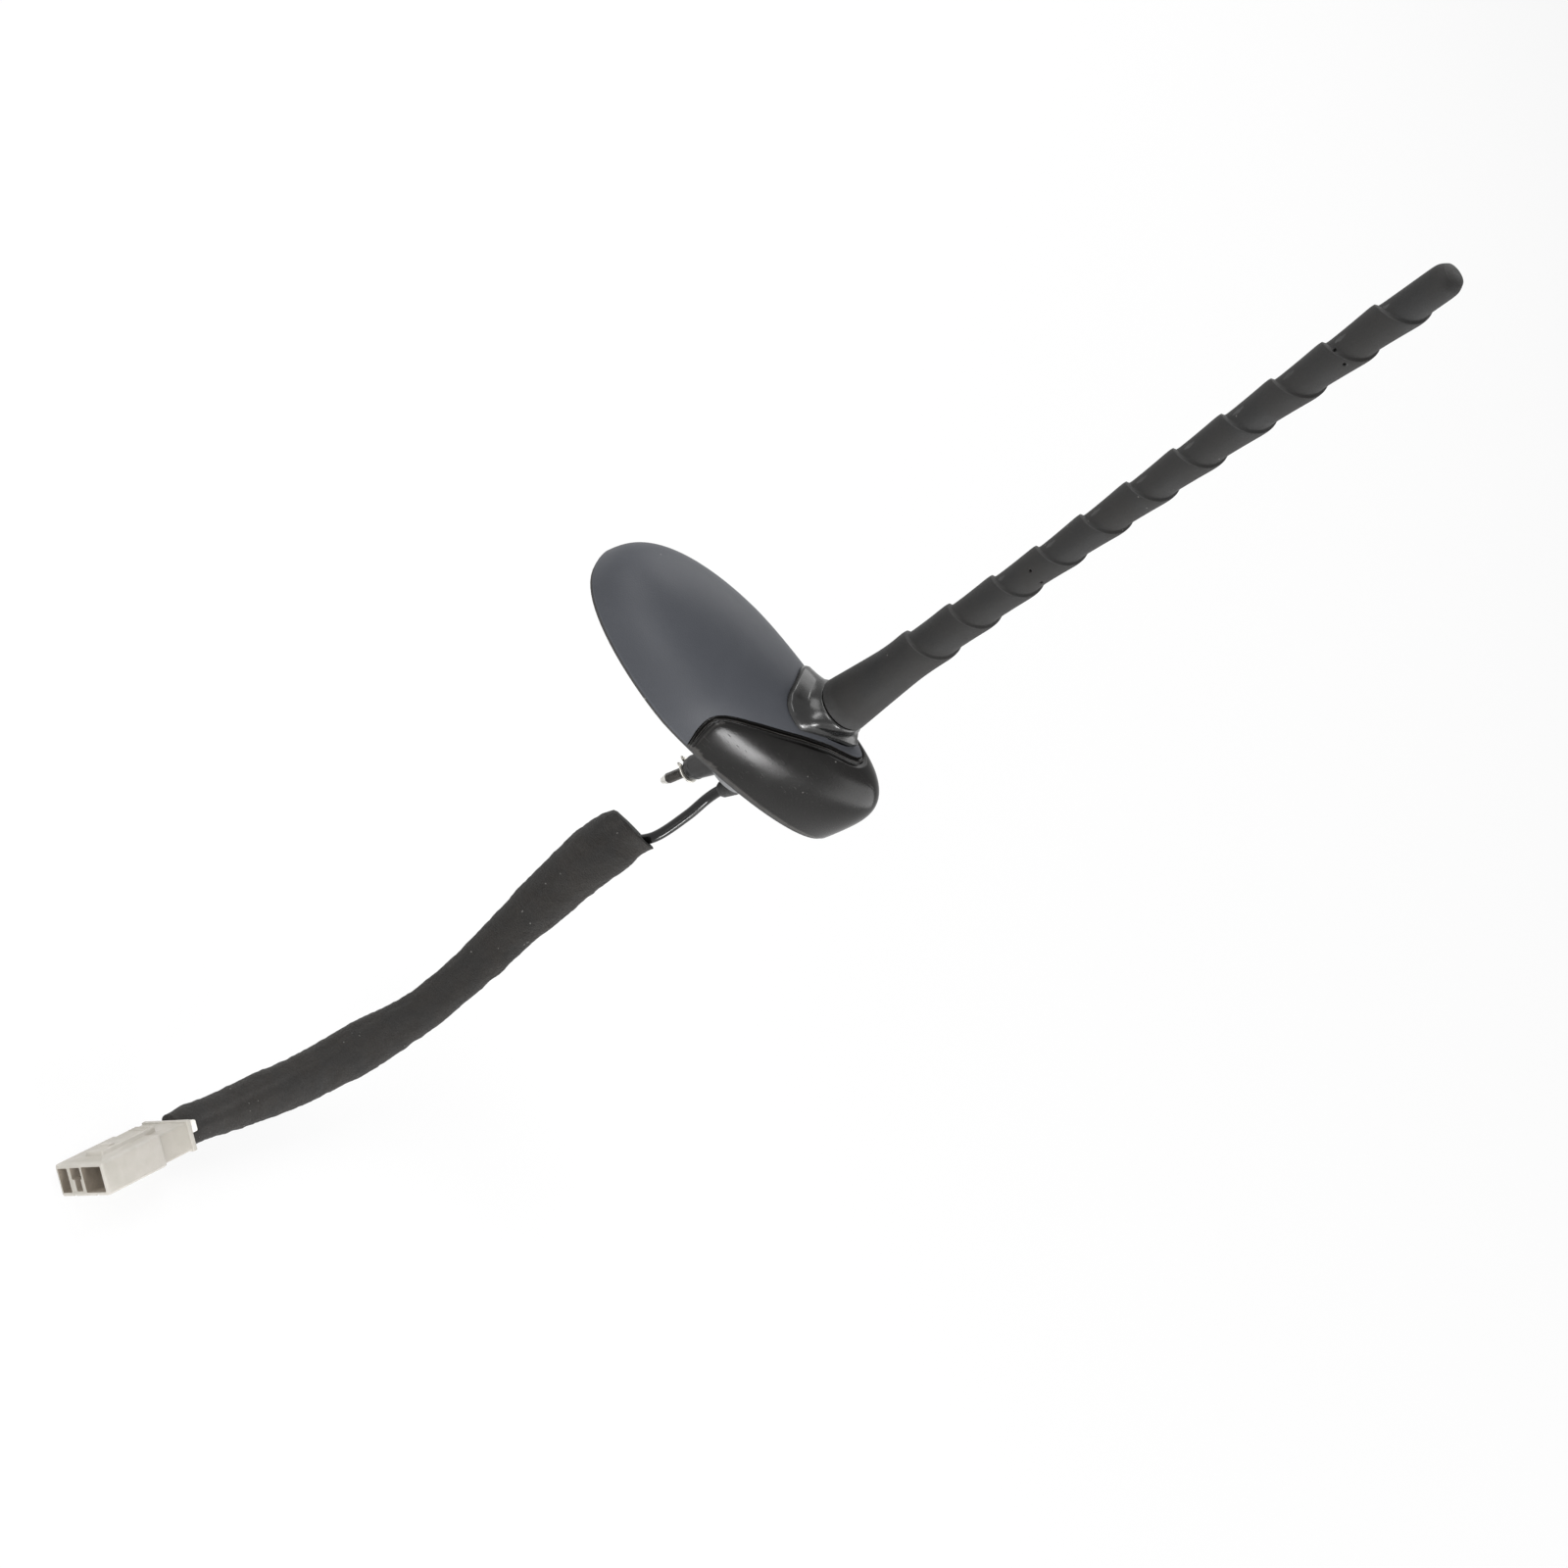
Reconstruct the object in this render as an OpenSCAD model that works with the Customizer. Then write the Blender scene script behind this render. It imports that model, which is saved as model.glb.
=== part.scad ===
// Roof-mounted car mast aerial with its lead and plug.
// Vehicle frame in millimetres: +Z out of the roof, +X towards the blunt nose of the base.
// The origin is on the roof surface, on the axis of the round spigot that enters the roof hole.

/* [Base shell] */
// From the spigot axis back to the tail of the base
tail_reach = 67.2; // [60:0.1:75]
// From the spigot axis forward to the nose of the base
nose_reach = 35.2; // [32:0.1:42]
// Half of the base's greatest width
half_width = 21.5; // [20:0.1:25]
// Height of the crown above the gasket
crown_height = 26.2; // [24:0.1:30]
// How far behind the spigot axis the base is widest
widest_back = 27; // [18:0.1:30]
// How far ahead of the spigot axis the crown is highest
crown_ahead = 14; // [8:0.1:20]
// Wall thickness of the cover and the nose cap
shell_wall = 2.2; // [1.6:0.1:2.8]
// Width of the joint line between the cover and the nose cap
seam_gap = 0.3; // [0.2:0.05:0.6]
// Height of each of the two beads beside the joint line
bead_height = 0.8; // [0.3:0.05:1.2]
// Spacing of the two beads
bead_pitch = 2.2; // [1.6:0.1:3]

/* [Gasket and plate] */
// Thickness of the roof gasket
gasket_t = 1.2; // [0.8:0.1:2]
// How far the gasket's edge stays inside the shells
gasket_inset = 0.4; // [0.1:0.1:1]
// Thickness of the base plate
plate_t = 2.4; // [1.8:0.1:3]
// Gap between the plate's edge and the shells
plate_gap = 0.4; // [0.3:0.1:1]
// Radius of the spigot that locates in the roof hole
spigot_r = 12; // [11:0.1:13]
// How far the spigot reaches below the roof surface
spigot_depth = 6; // [5:0.1:7]

/* [Fixing] */
// Radius of the clamp tower at its root
tower_root_r = 4.6; // [4:0.1:5]
// Radius of the clamp tower at its foot
tower_foot_r = 3.1; // [2.8:0.1:3.4]
// Depth of the clamp tower's foot below the roof surface
tower_depth = 21.6; // [18:0.1:24]
// Radius of the clamp bolt's shank
bolt_r = 1.5; // [1.2:0.1:1.7]
// Depth of the bolt's tip below the roof surface
bolt_depth = 32; // [28:0.1:36]
// Outer radius of the spring clip
clip_r = 3.7; // [3.4:0.1:4.5]
// Thickness of the spring clip
clip_t = 0.9; // [0.6:0.1:1.4]

/* [Mast] */
// Lean of the mast towards the tail
mast_rake = 11; // [8:0.5:12]
// Height at which the mast axis leaves its seat
mast_seat_z = 33.5; // [32:0.1:36]
// Length of the rubber jacket
mast_len = 211; // [195:1:240]
// Radius of the jacket's foot
foot_r = 7.7; // [7:0.1:8.2]
// Radius of the first rib crest
first_crest_r = 6.6; // [6:0.1:7]
// Radius of the rib crests along the slim part
slim_crest_r = 5.0; // [4.6:0.1:5.6]
// Radius of the smooth tip
tip_r = 4.1; // [3.8:0.1:4.5]
// Advance of the spiral rib in one turn
rib_pitch = 16; // [14:0.5:18]
// Height of the rib's step
rib_height = 0.95; // [0.5:0.05:1.2]
// Distance from the foot to the first full crest
first_crest = 29.5; // [26:0.5:34]
// Gap between the jacket's foot and the boss
seat_gap = 0.3; // [0.2:0.05:0.5]
// Radius of the threaded stud
stud_r = 2.5; // [2:0.1:3]
// Length of the threaded stud
stud_len = 9; // [6:0.5:10]
// Radius of the mast's core rod
core_r = 2.15; // [1.6:0.05:2.3]
// Thickness of the wire winding on the core
winding_t = 0.6; // [0.4:0.05:0.7]

/* [Boss] */
// Length of the boss where it meets the cover
boss_len = 26; // [25:0.5:27]
// Width of the boss where it meets the cover
boss_width = 19; // [17:0.5:20]
// Radius of the boss's round top
boss_top_r = 7.7; // [7.4:0.1:8.2]
// Height of the plinth under the boss
plinth_h = 1.6; // [0.8:0.1:2.2]
// Outer radius of the threaded socket
socket_r = 4.2; // [3.8:0.1:4.5]
// Wall of the plastic insulator round the socket
insulator_wall = 0.8; // [0.6:0.1:1]

/* [Lead] */
// Diameter of the coaxial lead
coax_d = 3; // [2.6:0.1:3.4]
// Width of the foam sleeve at the base end
foam_wide = 16.6; // [14:0.1:18]
// Width of the foam sleeve at the plug end
foam_narrow = 10.6; // [9:0.1:12]
// Thickness of the foam sleeve as a share of its width
foam_flat = 0.74; // [0.6:0.01:1]
// How far the sleeve's base end sits to one side of the lead
foam_offset = 3.6; // [0:0.1:4]
// Length of the plug's housing
plug_len = 33; // [30:0.5:36]
// Width of the plug's housing
plug_width = 17; // [15:0.5:19]
// Height of the plug's housing
plug_height = 8.6; // [8:0.1:10]
// Wall thickness of the plug's housing
plug_wall = 1.1; // [0.8:0.05:1.3]

/* [Hidden] */
$fn = 48;
tiny = 0.02;
fit_gap = 0.05;

// Shape of the egg-like shells
tail_round = 1.7;
tail_full = 2.5;
nose_round = 1.45;
nose_full = 1.8;
rise_round = 2.7;
rise_full = 3;
drop_round = 2.45;
drop_full = 3.6;
side_round = 0.97;
crown_round = 0.88;
cover_rings = 21;
cap_rings = 13;
arc_steps = 36;

// The lip in side view, as height above the roof against distance along X
lip_side = [[1.2, -17], [4.5, -19.6], [8, -21.2], [11.3, -22], [13.4, -21.8], [15.4, -20.3],
    [17, -18], [20.3, -11], [24.1, -1], [26.2, 7], [27.4, 17]];

// Half width of the shells at x, drawn in by g
function plan_w(x, g) = let (
    back = x < -widest_back,
    span = back ? tail_reach - g - widest_back : nose_reach - g + widest_back,
    t = min(1, abs(x + widest_back) / span),
    p = back ? tail_round : nose_round,
    q = back ? tail_full : nose_full)
    (half_width - g) * pow(max(0, 1 - pow(t, p)), 1 / q);

// Height of the shells at x, drawn in by g
function ridge_h(x, g) = let (
    back = x < crown_ahead,
    span = back ? tail_reach - g + crown_ahead : nose_reach - g - crown_ahead,
    t = min(1, abs(x - crown_ahead) / span),
    p = back ? rise_round : drop_round,
    q = back ? rise_full : drop_full)
    (crown_height - g) * pow(max(0, 1 - pow(t, p)), 1 / q);

// Point of the shell at x and at the angle a round its arch, from 0 at +Y to 180 at -Y
function arch(x, a, g) = [x,
    sign(cos(a)) * plan_w(x, g) * pow(abs(cos(a)), side_round),
    gasket_t + ridge_h(x, g) * pow(max(0, sin(a)), crown_round)];

// Distance along X at which the lip crosses the arch angle a
function lip_step(x, a, n) = n == 0 ? x
    : lip_step((x + lookup(arch(x, a, 0)[2], lip_side)) / 2, a, n - 1);
function lip_x(a) = lip_step(-15, a, 24);

// Surface directions at x and a, the outward normal, and the direction across the lip
function slope_x(x, a) = (arch(x + 0.2, a, 0) - arch(x - 0.2, a, 0)) / 0.4;
function slope_a(x, a) = (arch(x, a + 0.8, 0) - arch(x, a - 0.8, 0)) / 1.6;
function unit(v) = v / norm(v);
function normal_at(x, a) = unit(cross(slope_x(x, a), slope_a(x, a)));
function lip_turn(a) = (lip_x(a + 1) - lip_x(a - 1)) / 2;
function across(a) = let (
    x = lip_x(a), e = slope_x(x, a), f = slope_a(x, a), t = lip_turn(a),
    share = -(t * (e * e) + e * f) / (t * (e * f) + f * f),
    size = norm(e + share * f))
    [1 / size, share / size];
// Angle kept inside the arch, so that slopes can be taken
function inner_a(a) = min(178.6, max(1.4, a));

// Point at the distance d from the lip towards the nose, raised by h
function beside_lip(a, d, h) = let (
    b = inner_a(a), s = across(b), hold = min(1, sin(a) * 4),
    x = lip_x(b) + d * s[0], c = a + d * s[1] * hold)
    arch(x, c, 0) + h * normal_at(x, inner_a(c)) * min(1, 0.25 + sin(a) * 6)
    * [[1, 0, 0], [0, 1, 0], [0, 0, a == 0 || a == 180 ? 0 : 1]];
function beside_param(a, d) = let (b = inner_a(a), s = across(b), hold = min(1, sin(a) * 4))
    [lip_x(b) + d * s[0], a + d * s[1] * hold];

// Closed shell from two grids of n rings by m + 1 points and a pole for each grid.
// hole = [first ring, last ring, first step, last step] leaves an opening, and flip turns it over.
function shell_faces(n, m, hole, flip) = let (
    k = m + 1, in0 = n * k, po = 2 * n * k, pi = po + 1,
    open = function (i, j) i >= hole[0] && i < hole[1] && j >= hole[2] && j < hole[3],
    skin = [for (i = [0:n - 2]) for (j = [0:m - 1]) if (!open(i, j))
        for (f = let (a = i * k + j, b = a + 1, c = a + k + 1, d = a + k)
            [[a, b, c], [a, c, d], [in0 + a, in0 + c, in0 + b], [in0 + a, in0 + d, in0 + c]]) f],
    rim = [for (i = [0:n - 2]) for (f = let (a = i * k, d = a + k, b = a + m, c = d + m)
        [[a, d, in0 + d], [a, in0 + d, in0 + a], [b, in0 + c, c], [b, in0 + b, in0 + c]]) f],
    lip = [for (j = [0:m - 1]) for (f = let (a = (n - 1) * k + j, b = a + 1)
        [[a, b, in0 + b], [a, in0 + b, in0 + a]]) f],
    cap = [for (j = [0:m - 1]) for (f = [[po, j + 1, j], [pi, in0 + j, in0 + j + 1]]) f],
    foot = [[po, 0, in0], [po, in0, pi], [po, in0 + m, m], [po, pi, in0 + m]],
    sides = hole[1] <= hole[0] ? [] : concat(
        [for (j = [hole[2]:hole[3] - 1]) for (f = let (
            a = hole[0] * k + j, b = a + 1, c = hole[1] * k + j, d = c + 1)
            [[a, b, in0 + b], [a, in0 + b, in0 + a], [c, in0 + d, d], [c, in0 + c, in0 + d]]) f],
        [for (i = [hole[0]:hole[1] - 1]) for (f = let (
            a = i * k + hole[2], b = a + k, c = i * k + hole[3], d = c + k)
            [[a, in0 + b, b], [a, in0 + a, in0 + b], [c, d, in0 + d], [c, in0 + d, in0 + c]]) f]),
    all = concat(skin, rim, lip, cap, foot, sides))
    flip ? [for (f = all) [f[2], f[1], f[0]]] : all;

// Ring places from 0 to 1, close together near the pole
function spread(i, n) = 1 - cos(90 * (i + 0.35) / (n - 0.65));

// Satin cover over the tail. Its rings bend into the lip's curve, and the opening for the socket
// lies between two of them, under the boss.
socket_hole = [cover_rings - 5, cover_rings - 2, 14, 22];
hole_rings = [[16, 0.745], [17, 0.81], [18, 0.88], [19, 0.95], [20, 1]];
function cover_share(i) = i <= 16 ? hole_rings[0][1] * spread(i, 17) : lookup(i, hole_rings);
function cover_x(i, a, g) = let (x0 = -tail_reach + g, s = cover_share(i), top = lip_x(90))
    x0 + (top - x0) * s - (top - lip_x(inner_a(a))) * pow(s, 2.2) - seam_gap * s;
function cover_point(i, j, g) = let (a = 180 * j / arc_steps) arch(cover_x(i, a, g), a, g);
module base_cover() {
    points = concat(
        [for (i = [0:cover_rings - 1]) for (j = [0:arc_steps]) cover_point(i, j, 0)],
        [for (i = [0:cover_rings - 1]) for (j = [0:arc_steps]) cover_point(i, j, shell_wall)],
        [[-tail_reach, 0, gasket_t], [-tail_reach + shell_wall, 0, gasket_t]]);
    color([0.27, 0.28, 0.3])
        polyhedron(points, shell_faces(cover_rings, arc_steps, socket_hole, false), convexity = 6);
}

// Rows of the nose cap beside its lip: distance from the lip and height of the row
bead_rows = [[0, 0], [0.12, 0.7], [0.45, 1], [0.8, 0.75], [1.1, 0.1], [1.4, 0.55],
    [1.85, 0.9], [2.3, 0.6], [2.75, 0]];
bead_scale = bead_pitch / 2.2;
bead_count = len(bead_rows);

// The nose cap's rows run from its pole at the nose back to its lip
function cap_point(i, j, g) = let (a = 180 * j / arc_steps)
    i >= cap_rings
    ? let (row = bead_rows[bead_count - 1 - (i - cap_rings)],
        d = row[0] * bead_scale, q = beside_param(a, d))
        g > 0 ? arch(q[0], q[1], g) : beside_lip(a, d, row[1] * bead_height)
    : let (s = spread(i, cap_rings + 1), x1 = nose_reach - g,
        q = beside_param(a, bead_rows[bead_count - 1][0] * bead_scale))
        arch(x1 + (q[0] - x1) * s, a + (q[1] - a) * s * s, g);
module nose_cap() {
    rows = cap_rings + bead_count;
    points = concat(
        [for (i = [0:rows - 1]) for (j = [0:arc_steps]) cap_point(i, j, 0)],
        [for (i = [0:rows - 1]) for (j = [0:arc_steps]) cap_point(i, j, shell_wall)],
        [[nose_reach, 0, gasket_t], [nose_reach - shell_wall, 0, gasket_t]]);
    color([0.12, 0.12, 0.13])
        polyhedron(points, shell_faces(rows, arc_steps, [0, 0, 0, 0], true), convexity = 6);
}

// The spigot's collar passes through the gasket and stops just above the roof
collar_r = spigot_r + 1;
collar_lift = 0.1;

// Plan outline of the base, drawn in by g
plan_steps = 44;
function plan_outline(g) = concat(
    [for (k = [0:plan_steps]) let (s = (1 - cos(180 * k / plan_steps)) / 2,
        x = -tail_reach + g + (tail_reach + nose_reach - 2 * g) * s) [x, -plan_w(x, g)]],
    [for (k = [plan_steps - 1:-1:1]) let (s = (1 - cos(180 * k / plan_steps)) / 2,
        x = -tail_reach + g + (tail_reach + nose_reach - 2 * g) * s) [x, plan_w(x, g)]]);

module roof_gasket() {
    color([0.08, 0.08, 0.08])
        linear_extrude(gasket_t)
            difference() {
                polygon(plan_outline(gasket_inset));
                circle(collar_r + fit_gap);
            }
}

// Places on the plate
plate_top = gasket_t + plate_t;
lead_hole = [5.5, -7.5];
grommet_r = 2.4;
board_x = [15.2 - tail_reach, -13];
board_w = 24;
board_z = 8.5;
board_t = 1.6;
post_in = [4, 3.5];
board_post = [for (x = [board_x[0] + post_in[0], board_x[1] - post_in[0]])
    for (y = [board_w / 2 - post_in[1], post_in[1] - board_w / 2]) [x, y]];
screw_side = half_width - 6.5;
screw_place = [[8.2 - tail_reach, 0], [1 - widest_back, screw_side], [1 - widest_back, -screw_side],
    [nose_reach - 12.2, 0]];
pillar_r = 5;
board_post_r = 2.2;
board_screw_r = 0.85;
screw_r = 1.5;
screw_head_r = 2.8;
screw_head_t = 1;
screw_bite = 5;

// Moves to the mast's own axis, with L measured from the seat
module on_mast_axis() {
    translate([0, 0, mast_seat_z]) rotate([0, -mast_rake, 0]) children();
}

module base_plate() {
    socket_floor = -stud_len - 3.5;
    color([0.45, 0.45, 0.46])
        difference() {
            union() {
                translate([0, 0, gasket_t])
                    linear_extrude(plate_t) polygon(plan_outline(shell_wall + plate_gap));
                translate([0, 0, -spigot_depth]) cylinder(r = spigot_r, h = spigot_depth + plate_top);
                translate([0, 0, collar_lift]) cylinder(r = collar_r, h = plate_top - collar_lift);
                for (p = board_post)
                    translate([p[0], p[1], gasket_t + 1])
                        cylinder(r = board_post_r, h = board_z - gasket_t - 1);
                intersection() {
                    on_mast_axis() translate([0, 0, socket_floor - 24]) cylinder(r = pillar_r, h = 24);
                    translate([-12, -9, gasket_t + 0.4]) cube([30, 18, 30]);
                }
            }
            for (p = board_post)
                translate([p[0], p[1], plate_top])
                    cylinder(r = board_screw_r + fit_gap, h = board_z, $fn = 24);
            for (p = screw_place)
                translate([p[0], p[1], gasket_t - 1])
                    cylinder(r = screw_r + 4 * fit_gap, h = plate_t + 2, $fn = 24);
            for (p = screw_place)
                translate([p[0], p[1], gasket_t - 1])
                    cylinder(r = screw_head_r + 6 * fit_gap, h = screw_head_t + 1.2, $fn = 24);
            translate([lead_hole[0], lead_hole[1], -spigot_depth - 1])
                cylinder(r = grommet_r + fit_gap, h = spigot_depth + plate_top + 2, $fn = 32);
            translate([0, 0, -spigot_depth - 1]) cylinder(r = tower_root_r + fit_gap, h = 6);
        }
}

// Screws that hold the shells from below, with flat heads in the plate's counterbores
module plate_screws() {
    color([0.6, 0.6, 0.62])
        for (p = screw_place)
            translate([p[0], p[1], gasket_t + 0.1]) {
                difference() {
                    cylinder(r = screw_head_r, h = screw_head_t, $fn = 32);
                    translate([0, 0, -0.1]) cylinder(r = 0.8 * screw_r, h = 0.7, $fn = 6);
                }
                translate([0, 0, screw_head_t - 0.1]) cylinder(r = screw_r, h = screw_bite, $fn = 24);
            }
}

// Posts welded into the shells, which the screws bite into
post_r = 2.8;
post_gap = 0.16;
function under_shell(q) = let (c = pow(min(1, abs(q[1]) / plan_w(q[0], shell_wall)), 1 / side_round))
    gasket_t + ridge_h(q[0], shell_wall) * pow(1 - c * c, crown_round / 2) - post_gap;
module screw_posts() {
    n = 16;
    low = plate_top + fit_gap;
    bore = screw_r + fit_gap;
    color([0.2, 0.2, 0.21])
        for (p = screw_place) {
            around = [for (k = [0:n - 1]) [cos(360 * k / n), sin(360 * k / n)]];
            outer = [for (q = around) p + post_r * q];
            inner = [for (q = around) p + bore * q];
            rings = [[for (q = inner) [q[0], q[1], low + screw_bite]],
                [for (q = inner) [q[0], q[1], low]],
                [for (q = outer) [q[0], q[1], low]], [for (q = outer) [q[0], q[1], under_shell(q)]]];
            top = [p[0], p[1], under_shell(p)];
            polyhedron([for (r = rings) for (q = r) q, top], concat(
                [for (i = [0:2]) for (k = [0:n - 1]) for (f = let (
                    a = i * n + k, b = i * n + (k + 1) % n, c = b + n, d = a + n)
                    [[a, c, b], [a, d, c]]) f],
                [[for (k = [0:n - 1]) k]],
                [for (k = [0:n - 1]) [4 * n, 3 * n + (k + 1) % n, 3 * n + k]]), convexity = 4);
        }
}

module circuit_board() {
    color([0.1, 0.32, 0.18])
        difference() {
            translate([board_x[0], -board_w / 2, board_z])
                cube([board_x[1] - board_x[0], board_w, board_t]);
            for (p = board_post)
                translate([p[0], p[1], board_z - 1])
                    cylinder(r = board_screw_r + 7 * fit_gap, h = board_t + 2, $fn = 24);
        }
}

module board_screws() {
    color([0.7, 0.7, 0.7])
        for (p = board_post)
            translate([p[0], p[1], 0]) {
                translate([0, 0, board_z + board_t]) cylinder(r = 2, h = 1.2, $fn = 24);
                translate([0, 0, board_z - 4])
                    cylinder(r = board_screw_r, h = 4 + board_t + tiny, $fn = 24);
            }
}

can_in = 9;
can_size = [board_x[1] - board_x[0] - can_in - 10, 13, 5];
can_t = 0.4;
module shield_can() {
    color([0.75, 0.75, 0.76])
        translate([board_x[0] + can_in, -can_size[1] / 2, board_z + board_t])
            difference() {
                cube(can_size);
                translate([can_t, can_t, -1])
                    cube([can_size[0] - 2 * can_t, can_size[1] - 2 * can_t, can_size[2] - can_t + 1]);
            }
}

// Bent strip from the board up to the threaded socket
spring_w = 4;
spring_t = 0.4;
module contact_spring() {
    x0 = board_x[1] - 7;
    z0 = board_z + board_t;
    path = [[x0, z0], [x0 + 5, z0], [x0 + 9, z0 + 3.5], [x0 + 14.6, z0 + 9.4]];
    lift = spring_t * 1.2;
    color([0.8, 0.62, 0.3])
        rotate([90, 0, 0])
            translate([0, 0, -spring_w / 2])
                linear_extrude(spring_w)
                    polygon([path[0], path[1], path[2], path[3],
                        path[3] + [-lift, spring_t], path[2] + [-lift, spring_t],
                        path[1] + [-spring_t / 2, spring_t], path[0] + [0, spring_t]]);
}

// Height of the cover's skin above the roof at x and y
function skin_z(x, y) = let (c = pow(min(1, abs(y) / plan_w(x, 0)), 1 / side_round))
    gasket_t + ridge_h(x, 0) * pow(1 - c * c, crown_round / 2);

// Glossy boss that carries the mast, raked with it and seated on the cover
boss_sides = 40;
boss_bore = socket_r + insulator_wall + 3 * fit_gap;
seat_lift = 0.12;
// Foot outline: a rounded oblong from a power curve, cut off along the lip on both sides
function boss_foot(a) = let (c = cos(a), s = sin(a), slant = 0.473 * c + 0.881 * abs(s),
    r = pow(pow(abs(c) / (boss_len / 2), 4) + pow(abs(s) / (boss_width / 2), 4), -1 / 4))
    min(r, slant > 0.1 ? 6.84 / slant : r) * [c, s];
// A place on the mast axis's own plane, l above the seat, at radius r
function mast_place(r, a, l) = let (c = cos(mast_rake), s = sin(mast_rake))
    [r * cos(a) * c - l * s, r * sin(a), mast_seat_z + r * cos(a) * s + l * c];
function on_skin(q, h) = [q[0], q[1], skin_z(q[0], q[1]) + h];
// Foot of the bore, where the mast's own direction meets the cover
function bore_step(a, l, n) = let (q = mast_place(boss_bore, a, l))
    n == 0 ? [q[0], q[1]] : bore_step(a, l + on_skin(q, seat_lift)[2] - q[2], n - 1);
module mast_boss() {
    n = boss_sides;
    turn = [for (k = [0:n - 1]) 360 * k / n];
    // Rings from the foot up over the plinth and the body, down the bore and back along the cover
    rings = [
        [for (a = turn) on_skin(boss_foot(a), seat_lift)],
        [for (a = turn) on_skin(boss_foot(a) * 0.97, plinth_h)],
        [for (a = turn) on_skin(boss_foot(a) * 0.9, plinth_h + 0.35) * 0.85
            + mast_place(boss_top_r, a, -3) * 0.15],
        [for (a = turn) on_skin(boss_foot(a) * 0.9, plinth_h) * 0.35
            + mast_place(boss_top_r, a, -2) * 0.65],
        [for (a = turn) mast_place(boss_top_r, a, -0.8)],
        [for (a = turn) mast_place(boss_top_r - 0.3, a, 0)],
        [for (a = turn) mast_place(boss_bore, a, 0)],
        [for (a = turn) on_skin(bore_step(a, -7, 6), seat_lift)],
        [for (a = turn) on_skin((bore_step(a, -7, 6) + boss_foot(a)) / 2, seat_lift)]];
    count = len(rings);
    color([0.07, 0.07, 0.08])
        polyhedron([for (r = rings) for (q = r) q],
            [for (i = [0:count - 1]) for (k = [0:n - 1]) for (f = let (
                a = i * n + k, b = i * n + (k + 1) % n, c = (b + n) % (count * n), d = (a + n) % (count * n))
                [[a, c, b], [a, d, c]]) f], convexity = 6);
}

// Threaded brass socket in its plastic insulator
socket_top = -0.5;
socket_len = stud_len + 2.5;
module mast_socket() {
    color([0.72, 0.6, 0.3])
        on_mast_axis()
            difference() {
                union() {
                    translate([0, 0, socket_top - socket_len]) cylinder(r = socket_r - 1, h = socket_len);
                    translate([0, 0, socket_top - socket_len]) cylinder(r = socket_r, h = 2);
                }
                translate([0, 0, socket_top - stud_len - 0.8])
                    cylinder(r = stud_r + fit_gap, h = stud_len + 2);
            }
}
module socket_insulator() {
    color([0.85, 0.83, 0.78])
        on_mast_axis()
            difference() {
                translate([0, 0, socket_top - socket_len + 2 + fit_gap])
                    cylinder(r = socket_r + insulator_wall, h = socket_len - 2 - fit_gap);
                translate([0, 0, -socket_len - 4]) cylinder(r = socket_r - 1 + fit_gap, h = socket_len + 8);
            }
}

// Tapered tower under the spigot, with the bolt through it
module clamp_tower() {
    top = -spigot_depth + 5 - fit_gap;
    color([0.1, 0.1, 0.1])
        difference() {
            union() {
                translate([0, 0, -spigot_depth - 4]) cylinder(r = tower_root_r, h = 4 + spigot_depth + top);
                translate([0, 0, -tower_depth])
                    cylinder(r1 = tower_foot_r, r2 = tower_root_r, h = tower_depth - spigot_depth - 4);
            }
            translate([0, 0, -tower_depth - 1]) cylinder(r = bolt_r + fit_gap, h = tower_depth + 10);
        }
}
// Open spring clip on the bolt, against the tower's foot
module spring_clip() {
    color([0.78, 0.78, 0.76])
        translate([0, 0, -tower_depth - clip_t - fit_gap])
            difference() {
                cylinder(r = clip_r, h = clip_t);
                translate([0, 0, -1]) cylinder(r = bolt_r + 2 * fit_gap, h = clip_t + 2);
                translate([-clip_r * 2, -bolt_r * 0.8, -1]) cube([clip_r * 2, bolt_r * 1.6, clip_t + 2]);
            }
}
module clamp_bolt() {
    point = 3;
    color([0.2, 0.2, 0.2]) {
        translate([0, 0, -bolt_depth]) cylinder(r1 = bolt_r * 0.6, r2 = bolt_r, h = point);
        translate([0, 0, -bolt_depth + point])
            cylinder(r = bolt_r, h = bolt_depth - point - spigot_depth + 4.95);
    }
}

// Rubber grommet with a tapered tail where the lead leaves the spigot
module cable_grommet() {
    tail = 4;
    flange = 1.4;
    color([0.09, 0.09, 0.09])
        translate([lead_hole[0], lead_hole[1], 0])
            difference() {
                union() {
                    translate([0, 0, -spigot_depth - 1])
                        cylinder(r = grommet_r, h = spigot_depth + plate_top + 1, $fn = 32);
                    translate([0, 0, -spigot_depth - flange - fit_gap])
                        cylinder(r = 2.8, h = flange, $fn = 32);
                    translate([0, 0, -spigot_depth - flange - tail])
                        cylinder(r1 = coax_d / 2 + 0.7, r2 = 2.6, h = tail, $fn = 32);
                }
                translate([0, 0, -30]) cylinder(r = coax_d / 2 + fit_gap, h = 60, $fn = 32);
                translate([0, 0, -spigot_depth - flange - tail - 1])
                    cylinder(r = coax_d / 2 + 0.2, h = tail, $fn = 32);
            }
}

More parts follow.
